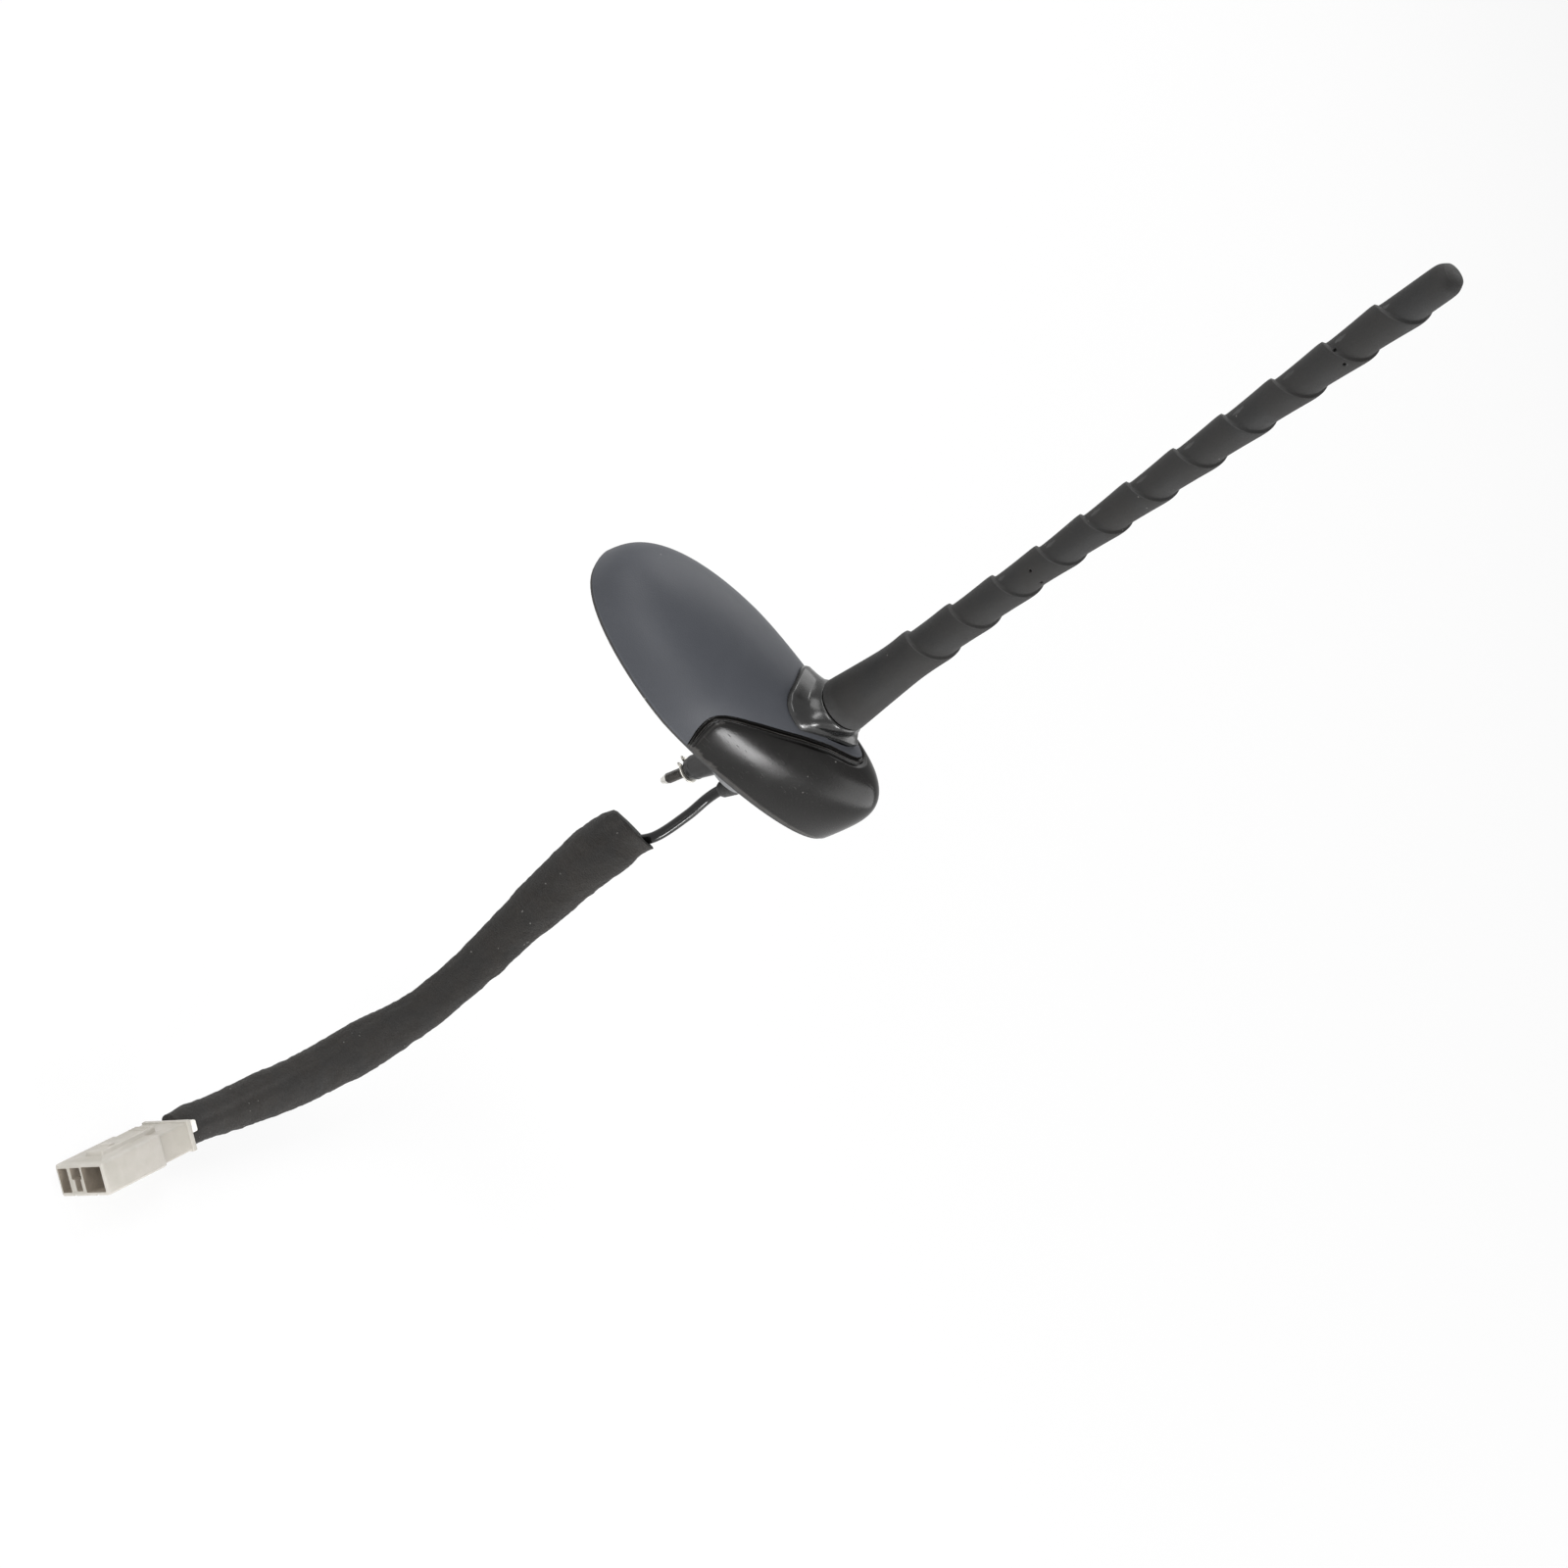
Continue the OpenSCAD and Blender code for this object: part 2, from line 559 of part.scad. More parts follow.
// Route of the lead, from the board to the plug
route = [[5.5, -7.5, 6], [5.5, -7.5, -3], [5.5, -7.5, -8], [5.5, -7.5, -12], [6.1, -8.1, -17],
    [7, -11, -24], [7, -15, -34], [4.6, -16.2, -43], [3.2, -20.5, -53], [3.8, -27, -65],
    [5, -36, -77], [5.8, -46, -88], [5.4, -57, -98.5], [3, -68, -107], [-1, -78, -113],
    [-6, -88.5, -117.6], [-12, -99.5, -120.8], [-19, -112, -123], [-26.5, -125, -124.3],
    [-30, -132, -124.6], [-33.8, -139.4, -124.6]];
steps_per_leg = 3;
function curve_at(p, i, t) = let (
    n = len(p), a = p[max(0, i - 1)], b = p[i], c = p[min(n - 1, i + 1)], d = p[min(n - 1, i + 2)])
    0.5 * (2 * b + (c - a) * t + (2 * a - 5 * b + 4 * c - d) * t * t
        + (3 * b - a - 3 * c + d) * t * t * t);
function curve(p, per) = concat(
    [for (i = [0:len(p) - 2]) for (s = [0:per - 1]) curve_at(p, i, s / per)], [p[len(p) - 1]]);
lead_line = curve(route, steps_per_leg);
function way(p, i) = unit(p[min(len(p) - 1, i + 1)] - p[max(0, i - 1)]);
// Side direction of a section, level with the picture of the laid-out lead
face_way = unit([-0.39, -0.71, 0.59]);
function side_way(d) = unit(cross(face_way, d));

// Tube along a line, with w across and h thick at each ring
function ring(p, d, w, h, n) = let (s = side_way(d), u = cross(d, s))
    [for (k = [0:n - 1]) p + s * (w / 2 * cos(360 * k / n)) + u * (h / 2 * sin(360 * k / n))];
function tube_faces(rings, n) = concat(
    [for (i = [0:rings - 2]) for (k = [0:n - 1]) for (f = let (
        a = i * n + k, b = i * n + (k + 1) % n, c = b + n, d = a + n) [[a, c, b], [a, d, c]]) f],
    [[for (k = [0:n - 1]) k]],
    [[for (k = [n - 1:-1:0]) (rings - 1) * n + k]]);
module lead_coax() {
    n = 8;
    color([0.05, 0.05, 0.05])
        polyhedron([for (i = [0:len(lead_line) - 1])
            for (q = ring(lead_line[i], way(lead_line, i), coax_d, coax_d, n)) q],
            tube_faces(len(lead_line), n), convexity = 10);
}

// The foam sleeve covers the lead from this ring to that one
foam_first = 19;
foam_last = 56;
function foam_w(t) = foam_wide + (foam_narrow - foam_wide) * t
    - 1.9 * sin(180 * min(1, t * 1.6)) + 1.2 * sin(180 * max(0, (t - 0.5) * 2));
// The sleeve is wrapped off centre at the base end, so that the lead enters beside one edge
function foam_aside(t) = foam_offset * pow(max(0, 1 - t / 0.3), 2);
foam_line = [for (i = [foam_first:foam_last]) lead_line[i]];
module foam_sleeve() {
    n = 12;
    count = len(foam_line);
    outer = [for (i = [0:count - 1])
        let (t = i / (count - 1), w = foam_w(t), d = way(lead_line, i + foam_first))
            for (q = ring(foam_line[i] - side_way(d) * foam_aside(t), d, w, w * foam_flat, n)) q];
    inner = [for (i = [0:count - 1])
        for (q = ring(foam_line[i], way(lead_line, i + foam_first), coax_d + 0.5, coax_d + 0.5, n)) q];
    m = count * n;
    wall = [for (i = [0:count - 2]) for (k = [0:n - 1]) for (f = let (
        a = i * n + k, b = i * n + (k + 1) % n, c = b + n, d = a + n)
        [[a, c, b], [a, d, c], [m + a, m + b, m + c], [m + a, m + c, m + d]]) f];
    ends = [for (k = [0:n - 1]) for (f = let (
        a = k, b = (k + 1) % n, c = (count - 1) * n + k, d = (count - 1) * n + (k + 1) % n)
        [[a, b, m + b], [a, m + b, m + a], [c, m + d, d], [c, m + c, m + d]]) f];
    color([0.15, 0.14, 0.13]) polyhedron(concat(outer, inner), concat(wall, ends), convexity = 10);
}

// Moves to the plug: X towards its mating face, Z towards its latch
plug_yaw = -117.1;
plug_pitch = -0.6;
plug_roll = 77;
plug_back = [-29.3, -130.8, -124.5];
module on_plug() {
    translate(plug_back) rotate([plug_roll, plug_pitch, plug_yaw]) children();
}
// Slots in the mating face: centre across, width
slots = [[-4.9, 4.4], [0.4, 3.2], [5, 2.8]];
slot_depth = 9;
latch_len = 20;
module plug_housing() {
    w = plug_width;
    h = plug_height;
    rear_step = 12;
    color([0.76, 0.73, 0.69])
        on_plug()
            difference() {
                union() {
                    translate([rear_step, -w / 2, -h / 2]) cube([plug_len - rear_step, w, h]);
                    translate([0, -w / 2 + 0.7, -h / 2 + 0.5]) cube([rear_step + 1, w - 1.4, h - 1]);
                    translate([8, -3.4, h / 2 - 0.6]) cube([latch_len, 6.8, 1.7]);
                }
                for (s = slots)
                    translate([plug_len - slot_depth, -s[0] - s[1] / 2, -h / 2 + plug_wall])
                        cube([slot_depth + 1, s[1], h - 2 * plug_wall]);
                translate([-1, -w / 2 + 2, -h / 2 + 1.6]) cube([11, w - 4, h - 3.2]);
                translate([7, -2.4, h / 2 + 0.1]) cube([latch_len - 1, 4.8, 0.5]);
            }
}
// White retainer in the plug's rear, round the lead
module terminal_retainer() {
    w = plug_width - 4 - 2 * fit_gap;
    h = plug_height - 3.2 - 2 * fit_gap;
    color([0.92, 0.91, 0.88])
        on_plug()
            difference() {
                translate([-0.6, -w / 2, -h / 2]) cube([4.6, w, h]);
                translate([-5, 0, 0]) rotate([0, 90, 0]) cylinder(r = coax_d / 2 + 0.3, h = 20);
            }
}
module plug_terminals() {
    color([0.8, 0.7, 0.4])
        on_plug()
            for (s = slots)
                translate([plug_len - slot_depth + fit_gap, -s[0] - 0.5, -1.2]) cube([5, 1, 2.4]);
}

// Height of the rib through one pitch: a slow rise, then a sharp step
rib_rows = [[0, 0], [0.3, 0.28], [0.6, 0.62], [0.86, 1], [0.93, 0.86], [0.965, 0.12]];
rib_sides = 24;
// The seam of the spiral faces away, and the first crest is measured on the side at crest_face
rib_twist = 69;
crest_face = 158.7;
rib_start = first_crest - rib_pitch * (rib_rows[3][0] + (crest_face - rib_twist) / 360);
rib_turns = floor((mast_len - 6 - rib_start) / rib_pitch) - 1;
last_crest = first_crest + (rib_turns - 1) * rib_pitch;

// Radius of the jacket without its rib, at the distance l from the foot
slim_from = 78;
function crest_r(l) = l < first_crest
    ? foot_r + (first_crest_r - foot_r) * pow(l / first_crest, 0.8)
    : l < slim_from ? first_crest_r + (slim_crest_r - first_crest_r)
        * pow((l - first_crest) / (slim_from - first_crest), 0.75)
    : slim_crest_r;
function rib_share(l) = l < first_crest - 9 ? 0
    : l < first_crest ? (l - first_crest + 9) / 9
    : l < last_crest + 8.5 ? 1
    : max(0, 1 - (l - last_crest - 8.5) / 6);
function valley_r(l) = crest_r(l) - rib_height * min(1, max(0, l / first_crest))
    - (slim_crest_r - rib_height - tip_r) * min(1, max(0, (l - last_crest - 8) / 6));
core_bore = core_r + winding_t + 0.2;
ferrule_r = 5;
ferrule_len = 14;
function rib_point(r, j) = let (
    m = len(rib_rows), turn = floor(r / m), row = rib_rows[r - turn * m],
    l = rib_start + (turn + row[0] + j / rib_sides) * rib_pitch,
    rad = valley_r(l) + rib_height * row[1] * rib_share(l))
    [rad * cos(360 * j / rib_sides + rib_twist), rad * sin(360 * j / rib_sides + rib_twist), l];
function plain_ring(rad, l) = [for (j = [0:rib_sides - 1])
    [rad * cos(360 * j / rib_sides + rib_twist), rad * sin(360 * j / rib_sides + rib_twist), l]];
module mast_jacket() {
    n = rib_sides;
    m = len(rib_rows);
    rows = rib_turns * m;
    helix = [for (r = [0:rows]) for (j = [0:n - 1]) rib_point(r, j)];
    tip_from = rib_start + (rib_turns + 1) * rib_pitch + 1;
    tip_round = 3.2;
    // Rings after the helix: up over the tip, then down the bore from its foot
    tip = concat(plain_ring(tip_r, max(tip_from, mast_len - 6)),
        plain_ring(tip_r, mast_len - tip_round),
        plain_ring(tip_r * 0.93, mast_len - tip_round * 0.62),
        plain_ring(tip_r * 0.72, mast_len - tip_round * 0.2),
        plain_ring(tip_r * 0.4, mast_len));
    foot = concat(plain_ring(foot_r - 0.4, 0), plain_ring(foot_r, 0.5));
    bore = concat(plain_ring(ferrule_r + 0.1, 0), plain_ring(ferrule_r + 0.1, ferrule_len + 0.1),
        plain_ring(core_bore, ferrule_len + 0.1), plain_ring(core_bore, mast_len - 9));
    t0 = len(helix);
    f0 = t0 + len(tip);
    b0 = f0 + len(foot);
    side = [for (r = [0:rows - 1]) for (j = [0:n - 1])
        let (last = j == n - 1, a = r * n + j, d = a + n,
            b = last ? (r + m) * n : a + 1, c = last ? (r + m + 1) * n : d + 1)
        if (!last || r + m < rows) for (f = [[a, b, c], [a, c, d]]) f];
    // The helix starts on a step one pitch high, which one fan at each end closes
    start = concat(
        [for (j = [0:n - 2]) for (f = let (a = f0 + n + j) [[a, a + 1, j + 1], [a, j + 1, j]]) f],
        [[f0 + n + n - 1, f0 + n, n - 1], [f0 + n, 0, n - 1]],
        [for (r = [0:m - 1]) [r * n, (r + 1) * n, n - 1]]);
    e = rows * n;
    finish = concat(
        [for (j = [0:n - 2]) for (f = let (a = e + j, b = t0 + j) [[a, a + 1, b + 1], [a, b + 1, b]]) f],
        [[e + n - 1, t0, t0 + n - 1], [e + n - 1, e, t0]],
        [for (r = [rows - m:rows - 1]) [r * n + n - 1, e, (r + 1) * n + n - 1]]);
    rings = concat(
        [for (q = [0:3]) for (j = [0:n - 1]) for (f = let (
            a = t0 + q * n + j, b = t0 + q * n + (j + 1) % n) [[a, b, b + n], [a, b + n, a + n]]) f],
        [for (j = [0:n - 1]) for (f = let (a = f0 + j, b = f0 + (j + 1) % n)
            [[a, b, b + n], [a, b + n, a + n]]) f],
        [for (j = [0:n - 1]) for (f = let (a = f0 + j, b = f0 + (j + 1) % n,
            c = b0 + j, d = b0 + (j + 1) % n) [[a, d, b], [a, c, d]]) f],
        [for (q = [0:2]) for (j = [0:n - 1]) for (f = let (
            a = b0 + q * n + j, b = b0 + q * n + (j + 1) % n) [[a, b + n, b], [a, a + n, b + n]]) f],
        [[for (j = [0:n - 1]) t0 + 4 * n + j]],
        [[for (j = [n - 1:-1:0]) b0 + 3 * n + j]]);
    color([0.2, 0.2, 0.2])
        on_mast_axis() translate([0, 0, seat_gap])
            polyhedron(concat(helix, tip, foot, bore),
                [for (f = concat(side, start, finish, rings)) [for (k = [len(f) - 1:-1:0]) f[k]]],
                convexity = 10);
}
core_from = 6;
core_short = 10;
winding_from = 22;
winding_short = 81;
module mast_core() {
    color([0.86, 0.84, 0.74])
        on_mast_axis() translate([0, 0, seat_gap + core_from])
            cylinder(r = core_r, h = mast_len - core_short - core_from);
}
module mast_winding() {
    color([0.72, 0.42, 0.2])
        on_mast_axis() translate([0, 0, seat_gap + winding_from])
            difference() {
                cylinder(r = core_r + fit_gap + winding_t, h = mast_len - winding_short);
                translate([0, 0, -1]) cylinder(r = core_r + fit_gap, h = mast_len);
            }
}
module mast_ferrule() {
    color([0.7, 0.7, 0.72])
        on_mast_axis() translate([0, 0, seat_gap])
            difference() {
                union() {
                    cylinder(r = ferrule_r, h = ferrule_len);
                    translate([0, 0, -stud_len]) cylinder(r = stud_r, h = stud_len + 1);
                }
                translate([0, 0, core_from - 0.1]) cylinder(r = core_r + fit_gap, h = ferrule_len);
            }
}

base_cover();
nose_cap();
mast_boss();
roof_gasket();
base_plate();
plate_screws();
screw_posts();
circuit_board();
board_screws();
shield_can();
contact_spring();
mast_socket();
socket_insulator();
clamp_tower();
spring_clip();
clamp_bolt();
cable_grommet();
lead_coax();
foam_sleeve();
plug_housing();
terminal_retainer();
plug_terminals();
mast_jacket();
mast_core();
mast_winding();
mast_ferrule();
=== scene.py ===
import math
import bpy
from mathutils import Matrix, Vector


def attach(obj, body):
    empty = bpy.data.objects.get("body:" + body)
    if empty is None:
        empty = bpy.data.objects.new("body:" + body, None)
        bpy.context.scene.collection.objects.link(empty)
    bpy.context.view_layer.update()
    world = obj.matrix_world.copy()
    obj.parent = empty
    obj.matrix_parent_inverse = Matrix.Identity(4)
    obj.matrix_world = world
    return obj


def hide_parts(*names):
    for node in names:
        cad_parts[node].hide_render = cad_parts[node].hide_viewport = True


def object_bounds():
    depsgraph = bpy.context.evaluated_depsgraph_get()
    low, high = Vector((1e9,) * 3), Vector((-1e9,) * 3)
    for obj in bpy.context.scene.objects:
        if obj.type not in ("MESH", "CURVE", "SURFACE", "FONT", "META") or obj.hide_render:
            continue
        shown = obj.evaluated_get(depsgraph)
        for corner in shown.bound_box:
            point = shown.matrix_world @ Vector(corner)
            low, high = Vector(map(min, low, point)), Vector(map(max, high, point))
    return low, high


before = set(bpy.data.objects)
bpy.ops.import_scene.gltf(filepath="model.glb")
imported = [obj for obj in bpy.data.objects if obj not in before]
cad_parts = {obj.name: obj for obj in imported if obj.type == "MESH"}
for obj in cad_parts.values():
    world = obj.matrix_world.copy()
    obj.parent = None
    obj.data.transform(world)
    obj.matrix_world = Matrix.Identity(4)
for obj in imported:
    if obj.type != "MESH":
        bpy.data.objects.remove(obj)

cad_low, cad_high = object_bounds()
MM = 0.001
scene = bpy.context.scene


# Selecting and editing


def put_down():
    """Leaves nothing selected and no piece in edit mode."""
    if bpy.context.object and bpy.context.object.mode != "OBJECT":
        bpy.ops.object.mode_set(mode="OBJECT")
    bpy.ops.object.select_all(action="DESELECT")


def pick_up(piece):
    """Makes this the one selected and active piece."""
    put_down()
    piece.select_set(True)
    bpy.context.view_layer.objects.active = piece
    return piece


def open_up(piece, kind):
    """Starts editing the piece's faces, edges or points, with none of them selected."""
    pick_up(piece)
    bpy.ops.object.mode_set(mode="EDIT")
    bpy.ops.mesh.select_mode(type=kind)
    bpy.ops.mesh.select_all(action="DESELECT")


def choose(piece, test, kind="FACE"):
    """Selects the faces, or points, that pass the test. A face is tested by its centre and normal."""
    open_up(piece, kind)
    bpy.ops.object.mode_set(mode="OBJECT")
    if kind == "FACE":
        for face in piece.data.polygons:
            face.select = test(face.center / MM, face.normal)
    else:
        for point in piece.data.vertices:
            point.select = test(point.co / MM)
    bpy.ops.object.mode_set(mode="EDIT")


def close_up():
    bpy.ops.object.mode_set(mode="OBJECT")


def named(piece, name):
    piece.name = name
    piece.data.name = name
    return piece


def set_in_place(piece, place=None):
    """Moves the piece's place and turn into its mesh, so that its object sits at the origin."""
    if place:
        piece.matrix_world = place
    pick_up(piece)
    bpy.ops.object.transform_apply(location=True, rotation=True, scale=True)
    return piece


def finish_with(piece, kind, **settings):
    """Adds one modifier to the piece and applies it."""
    pick_up(piece)
    step = piece.modifiers.new(kind.lower(), kind)
    for trait, value in settings.items():
        setattr(step, trait, value)
    bpy.ops.object.modifier_apply(modifier=step.name)
    return piece


def weld(piece, gap=0.002):
    """Joins loose corners and turns every face outwards."""
    open_up(piece, "VERT")
    bpy.ops.mesh.select_all(action="SELECT")
    bpy.ops.mesh.remove_doubles(threshold=gap * MM)
    bpy.ops.mesh.normals_make_consistent(inside=False)
    close_up()
    return piece


def soften_light(piece, angle=38):
    """Shades the piece smoothly, with a crisp break at edges sharper than the angle."""
    pick_up(piece)
    bpy.ops.object.shade_smooth_by_angle(angle=math.radians(angle))
    return piece


def round_edges(piece, width, segments, angle=35):
    """Rounds every edge sharper than the angle."""
    return finish_with(piece, "BEVEL", width=width * MM, segments=segments, limit_method="ANGLE",
                       angle_limit=math.radians(angle), use_clamp_overlap=True)


def cut_with(piece, cutter, way="DIFFERENCE"):
    """Takes the cutter's shape out of the piece, or adds it, and throws the cutter away."""
    finish_with(piece, "BOOLEAN", operation=way, object=cutter, solver="EXACT")
    bpy.data.objects.remove(cutter, do_unlink=True)
    return piece


def join_up(pieces, name):
    """Makes one piece of several."""
    put_down()
    for piece in pieces:
        piece.select_set(True)
    bpy.context.view_layer.objects.active = pieces[0]
    bpy.ops.object.join()
    return named(pieces[0], name)


def fit_out(piece, body, node):
    """Lets the piece ride on its body and stand for its CAD node."""
    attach(piece, body)
    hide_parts(node)
    return piece


def block(name, low, high, rounding=0.0, segments=3):
    """A block between two corners in millimetres, with rounded edges."""
    put_down()
    low, high = Vector(low), Vector(high)
    bpy.ops.mesh.primitive_cube_add(size=MM, location=(low + high) / 2 * MM)
    piece = named(bpy.context.object, name)
    piece.scale = high - low
    set_in_place(piece)
    if rounding:
        round_edges(piece, rounding, segments)
    return piece


def drawn_line(name, points):
    """Draws a chain of points, given in millimetres, by extruding one point."""
    put_down()
    bpy.ops.mesh.primitive_plane_add(size=MM)
    piece = named(bpy.context.object, name)
    bpy.ops.object.mode_set(mode="EDIT")
    bpy.ops.mesh.select_mode(type="VERT")
    bpy.ops.mesh.select_all(action="SELECT")
    bpy.ops.mesh.merge(type="CENTER")
    bpy.ops.transform.translate(value=Vector(points[0]) * MM)
    for start, end in zip(points, points[1:]):
        step = (Vector(end) - Vector(start)) * MM
        bpy.ops.mesh.extrude_vertices_move(TRANSFORM_OT_translate={"value": step})
    close_up()
    return piece


def turned(name, profile, sides=64, ring=False):
    """Turns a profile of radius and height about Z. A ring's profile closes on itself."""
    line = list(profile) + [profile[0]] * ring
    piece = drawn_line(name, [(r, 0, z) for r, z in line])
    finish_with(piece, "SCREW", axis="Z", angle=2 * math.pi, screw_offset=0, iterations=1, steps=sides,
                render_steps=sides, use_merge_vertices=True, merge_threshold=0.002 * MM)
    return weld(piece)


# Camera at the photograph's angle

camera_data = bpy.data.cameras.new("studio camera")
camera_data.sensor_width = 36
camera_data.lens = 72.675
camera_data.clip_start = 0.05
camera_data.clip_end = 20
camera = bpy.data.objects.new("studio camera", camera_data)
scene.collection.objects.link(camera)
to_right = Vector((0.593517, 0.294116, 0.749155))
to_top = Vector((-0.701680, 0.645004, 0.302678))
to_viewer = Vector((-0.394186, -0.705312, 0.589196))
eye = Vector((-0.322049, -0.603519, 0.504728))
camera.matrix_world = Matrix((
    (to_right.x, to_top.x, to_viewer.x, eye.x),
    (to_right.y, to_top.y, to_viewer.y, eye.y),
    (to_right.z, to_top.z, to_viewer.z, eye.z),
    (0, 0, 0, 1),
))
scene.camera = camera


# The lead and its foam sleeve, on the same route as the CAD lead

lead_route = [
    (5.5, -7.5, 6), (5.5, -7.5, -3), (5.5, -7.5, -8), (5.5, -7.5, -12), (6.1, -8.1, -17),
    (7, -11, -24), (7, -15, -34), (4.6, -16.2, -43), (3.2, -20.5, -53), (3.8, -27, -65),
    (5, -36, -77), (5.8, -46, -88), (5.4, -57, -98.5), (3, -68, -107), (-1, -78, -113),
    (-6, -88.5, -117.6), (-12, -99.5, -120.8), (-19, -112, -123), (-26.5, -125, -124.3),
    (-30, -132, -124.6), (-33.8, -139.4, -124.6),
]
coax_diameter = 3.0
grommet_mouth = (5.5, -7.5, -11.4)
# Where the bare lead and the sleeve start and end, counted in the route's points
coax_start = 2.86
coax_end = 19.9
foam_start = 19 / 3
foam_end = 56 / 3
coax_steps = 160
way_step = 0.05
# Direction that the flat of the laid-out lead faces
lead_faces = Vector((-0.39, -0.71, 0.59)).normalized()


def along(route, place):
    """Point on the smooth curve through the route, at a place counted in its points."""
    last = len(route) - 1
    i = min(int(place), last - 1)
    t = place - i
    a = Vector(route[max(0, i - 1)])
    b = Vector(route[i])
    c = Vector(route[i + 1])
    d = Vector(route[min(last, i + 2)])
    return 0.5 * (2 * b + (c - a) * t + (2 * a - 5 * b + 4 * c - d) * t ** 2
                  + (3 * b - a - 3 * c + d) * t ** 3)


def places(start, end, count):
    """Evenly spaced values, both ends included."""
    return [start + (end - start) * k / (count - 1) for k in range(count)]


def lead_way(place):
    """Direction in which the lead runs at a place on its route."""
    a = along(lead_route, max(0, place - way_step))
    b = along(lead_route, min(len(lead_route) - 1, place + way_step))
    return (b - a).normalized()


def side_of_lead(way):
    """Direction across the lead, in the flat that it is laid out in."""
    return lead_faces.cross(way).normalized()


coax_points = [along(lead_route, s) * MM for s in places(coax_start, coax_end, coax_steps)]
coax_curve = bpy.data.curves.new("coax_jacket", "CURVE")
coax_curve.dimensions = "3D"
coax_curve.bevel_depth = coax_diameter / 2 * MM
coax_curve.bevel_resolution = 6
coax_curve.use_fill_caps = True
coax_run = coax_curve.splines.new("POLY")
coax_run.points.add(len(coax_points) - 1)
for point, spot in zip(coax_run.points, coax_points):
    point.co = (*spot, 1)
coax_run.use_smooth = True
coax = bpy.data.objects.new("coax_jacket", coax_curve)
scene.collection.objects.link(coax)
pick_up(coax)
bpy.ops.object.convert(target="MESH")
coax = named(bpy.context.object, "coax_jacket")
weld(coax)
soften_light(coax, 50)
fit_out(coax, "base", "lead_coax")


# Width of the sleeve and how far it sits to one side of the lead, at even steps from its base end
sleeve_widths = (15.4, 16.9, 15.5, 13.6, 12.1, 12.7, 14.3, 13.6, 13.2, 11.2, 10.6)
sleeve_asides = (4.2, 1.0, -0.4, -0.5, -0.2, 0.1, 0.3, 0.1, -0.2, 0, 0)
sleeve_marks = list(zip(sleeve_widths, sleeve_asides))
# Thickness as a share of the width, counted from the middle, and how boxy its outline is (1 is round)
half_thickness = 0.37
boxiness = 0.88
bore_gap = 0.2
# The rings before this point of the route all face as the sleeve does there, so its cut end is square
foam_square = 9.8
# Points round a ring, rings along the outside and the bore, and the width of a cut end's inner ring
ring_points = 72
outer_rings = 190
bore_rings = 120
end_ring = 0.6

# Middle and drift in degrees and phase of each long fold, then its depth in millimetres and its width
# in degrees
creases = ((95, 16, 0.4, 0.55, 8), (150, 22, 2.1, 0.3, 12), (265, 18, 4, 0.5, 9))
crease_sway = 3.4
crease_pulse = 9


def crease(turn, t):
    """Depth of the long folds pressed into the sleeve, at an angle round it."""
    depth = 0
    for middle, drift, phase, deep, wide in creases:
        here = middle + drift * math.sin(crease_sway * t + phase)
        off = (math.degrees(turn) - here + 180) % 360 - 180
        depth += deep * math.exp(-(off / wide) ** 2) * (0.55 + 0.45 * math.sin(crease_pulse * t + phase))
    return depth


def foam_skin():
    """Points and faces of the sleeve: rings outside, over each cut end and back through the bore."""
    # Each ring: its place from 0 to 1, its share of the full width, and whether it is in the bore
    steps = [(0, 0.93, False), (0.0012, 0.985, False)]
    steps += [(0.003 + 0.994 * t, 1.0, False) for t in places(0, 1, outer_rings)]
    steps += [(0.9988, 0.985, False), (1, 0.93, False), (1, end_ring, False)]
    steps += [(t, 1, True) for t in places(1, 0, bore_rings)]
    steps.append((0, end_ring, False))
    points = []
    outside = []
    for t, grow, bore in steps:
        place = foam_start + (foam_end - foam_start) * t
        way = lead_way(max(place, foam_square))
        across = side_of_lead(way)
        up = way.cross(across)
        centre = along(lead_route, place)
        wide, aside = along(sleeve_marks, t * (len(sleeve_marks) - 1))
        middle = centre if bore else centre - across * aside
        slant = 1 / max(0.5, way.dot(lead_way(place)))
        for k in range(ring_points):
            a = 2 * math.pi * k / ring_points
            if bore:
                u = (coax_diameter / 2 + bore_gap) * math.cos(a) * slant
                v = (coax_diameter / 2 + bore_gap) * math.sin(a)
            else:
                press = crease(a, t) * grow
                right = math.copysign(abs(math.cos(a)) ** boxiness, math.cos(a))
                high = math.copysign(abs(math.sin(a)) ** boxiness, math.sin(a))
                u = (wide / 2 - press) * grow * right
                v = (wide * half_thickness - press) * grow * high
                if grow > end_ring:
                    outside.append(len(points))
            points.append((middle + across * u + up * v) * MM)
    faces = []
    count = len(steps)
    for i in range(count):
        here = i * ring_points
        below = (i + 1) % count * ring_points
        for k in range(ring_points):
            after = (k + 1) % ring_points
            faces.append((here + k, here + after, below + after, below + k))
    return points, faces, outside


foam_points, foam_faces, foam_outside = foam_skin()
foam_mesh = bpy.data.meshes.new("foam_wrap")
foam_mesh.from_pydata(foam_points, [], foam_faces)
foam = bpy.data.objects.new("foam_wrap", foam_mesh)
scene.collection.objects.link(foam)
skin = foam.vertex_groups.new(name="outside")
skin.add(foam_outside, 1.0, "REPLACE")
weld(foam, 0.0005)
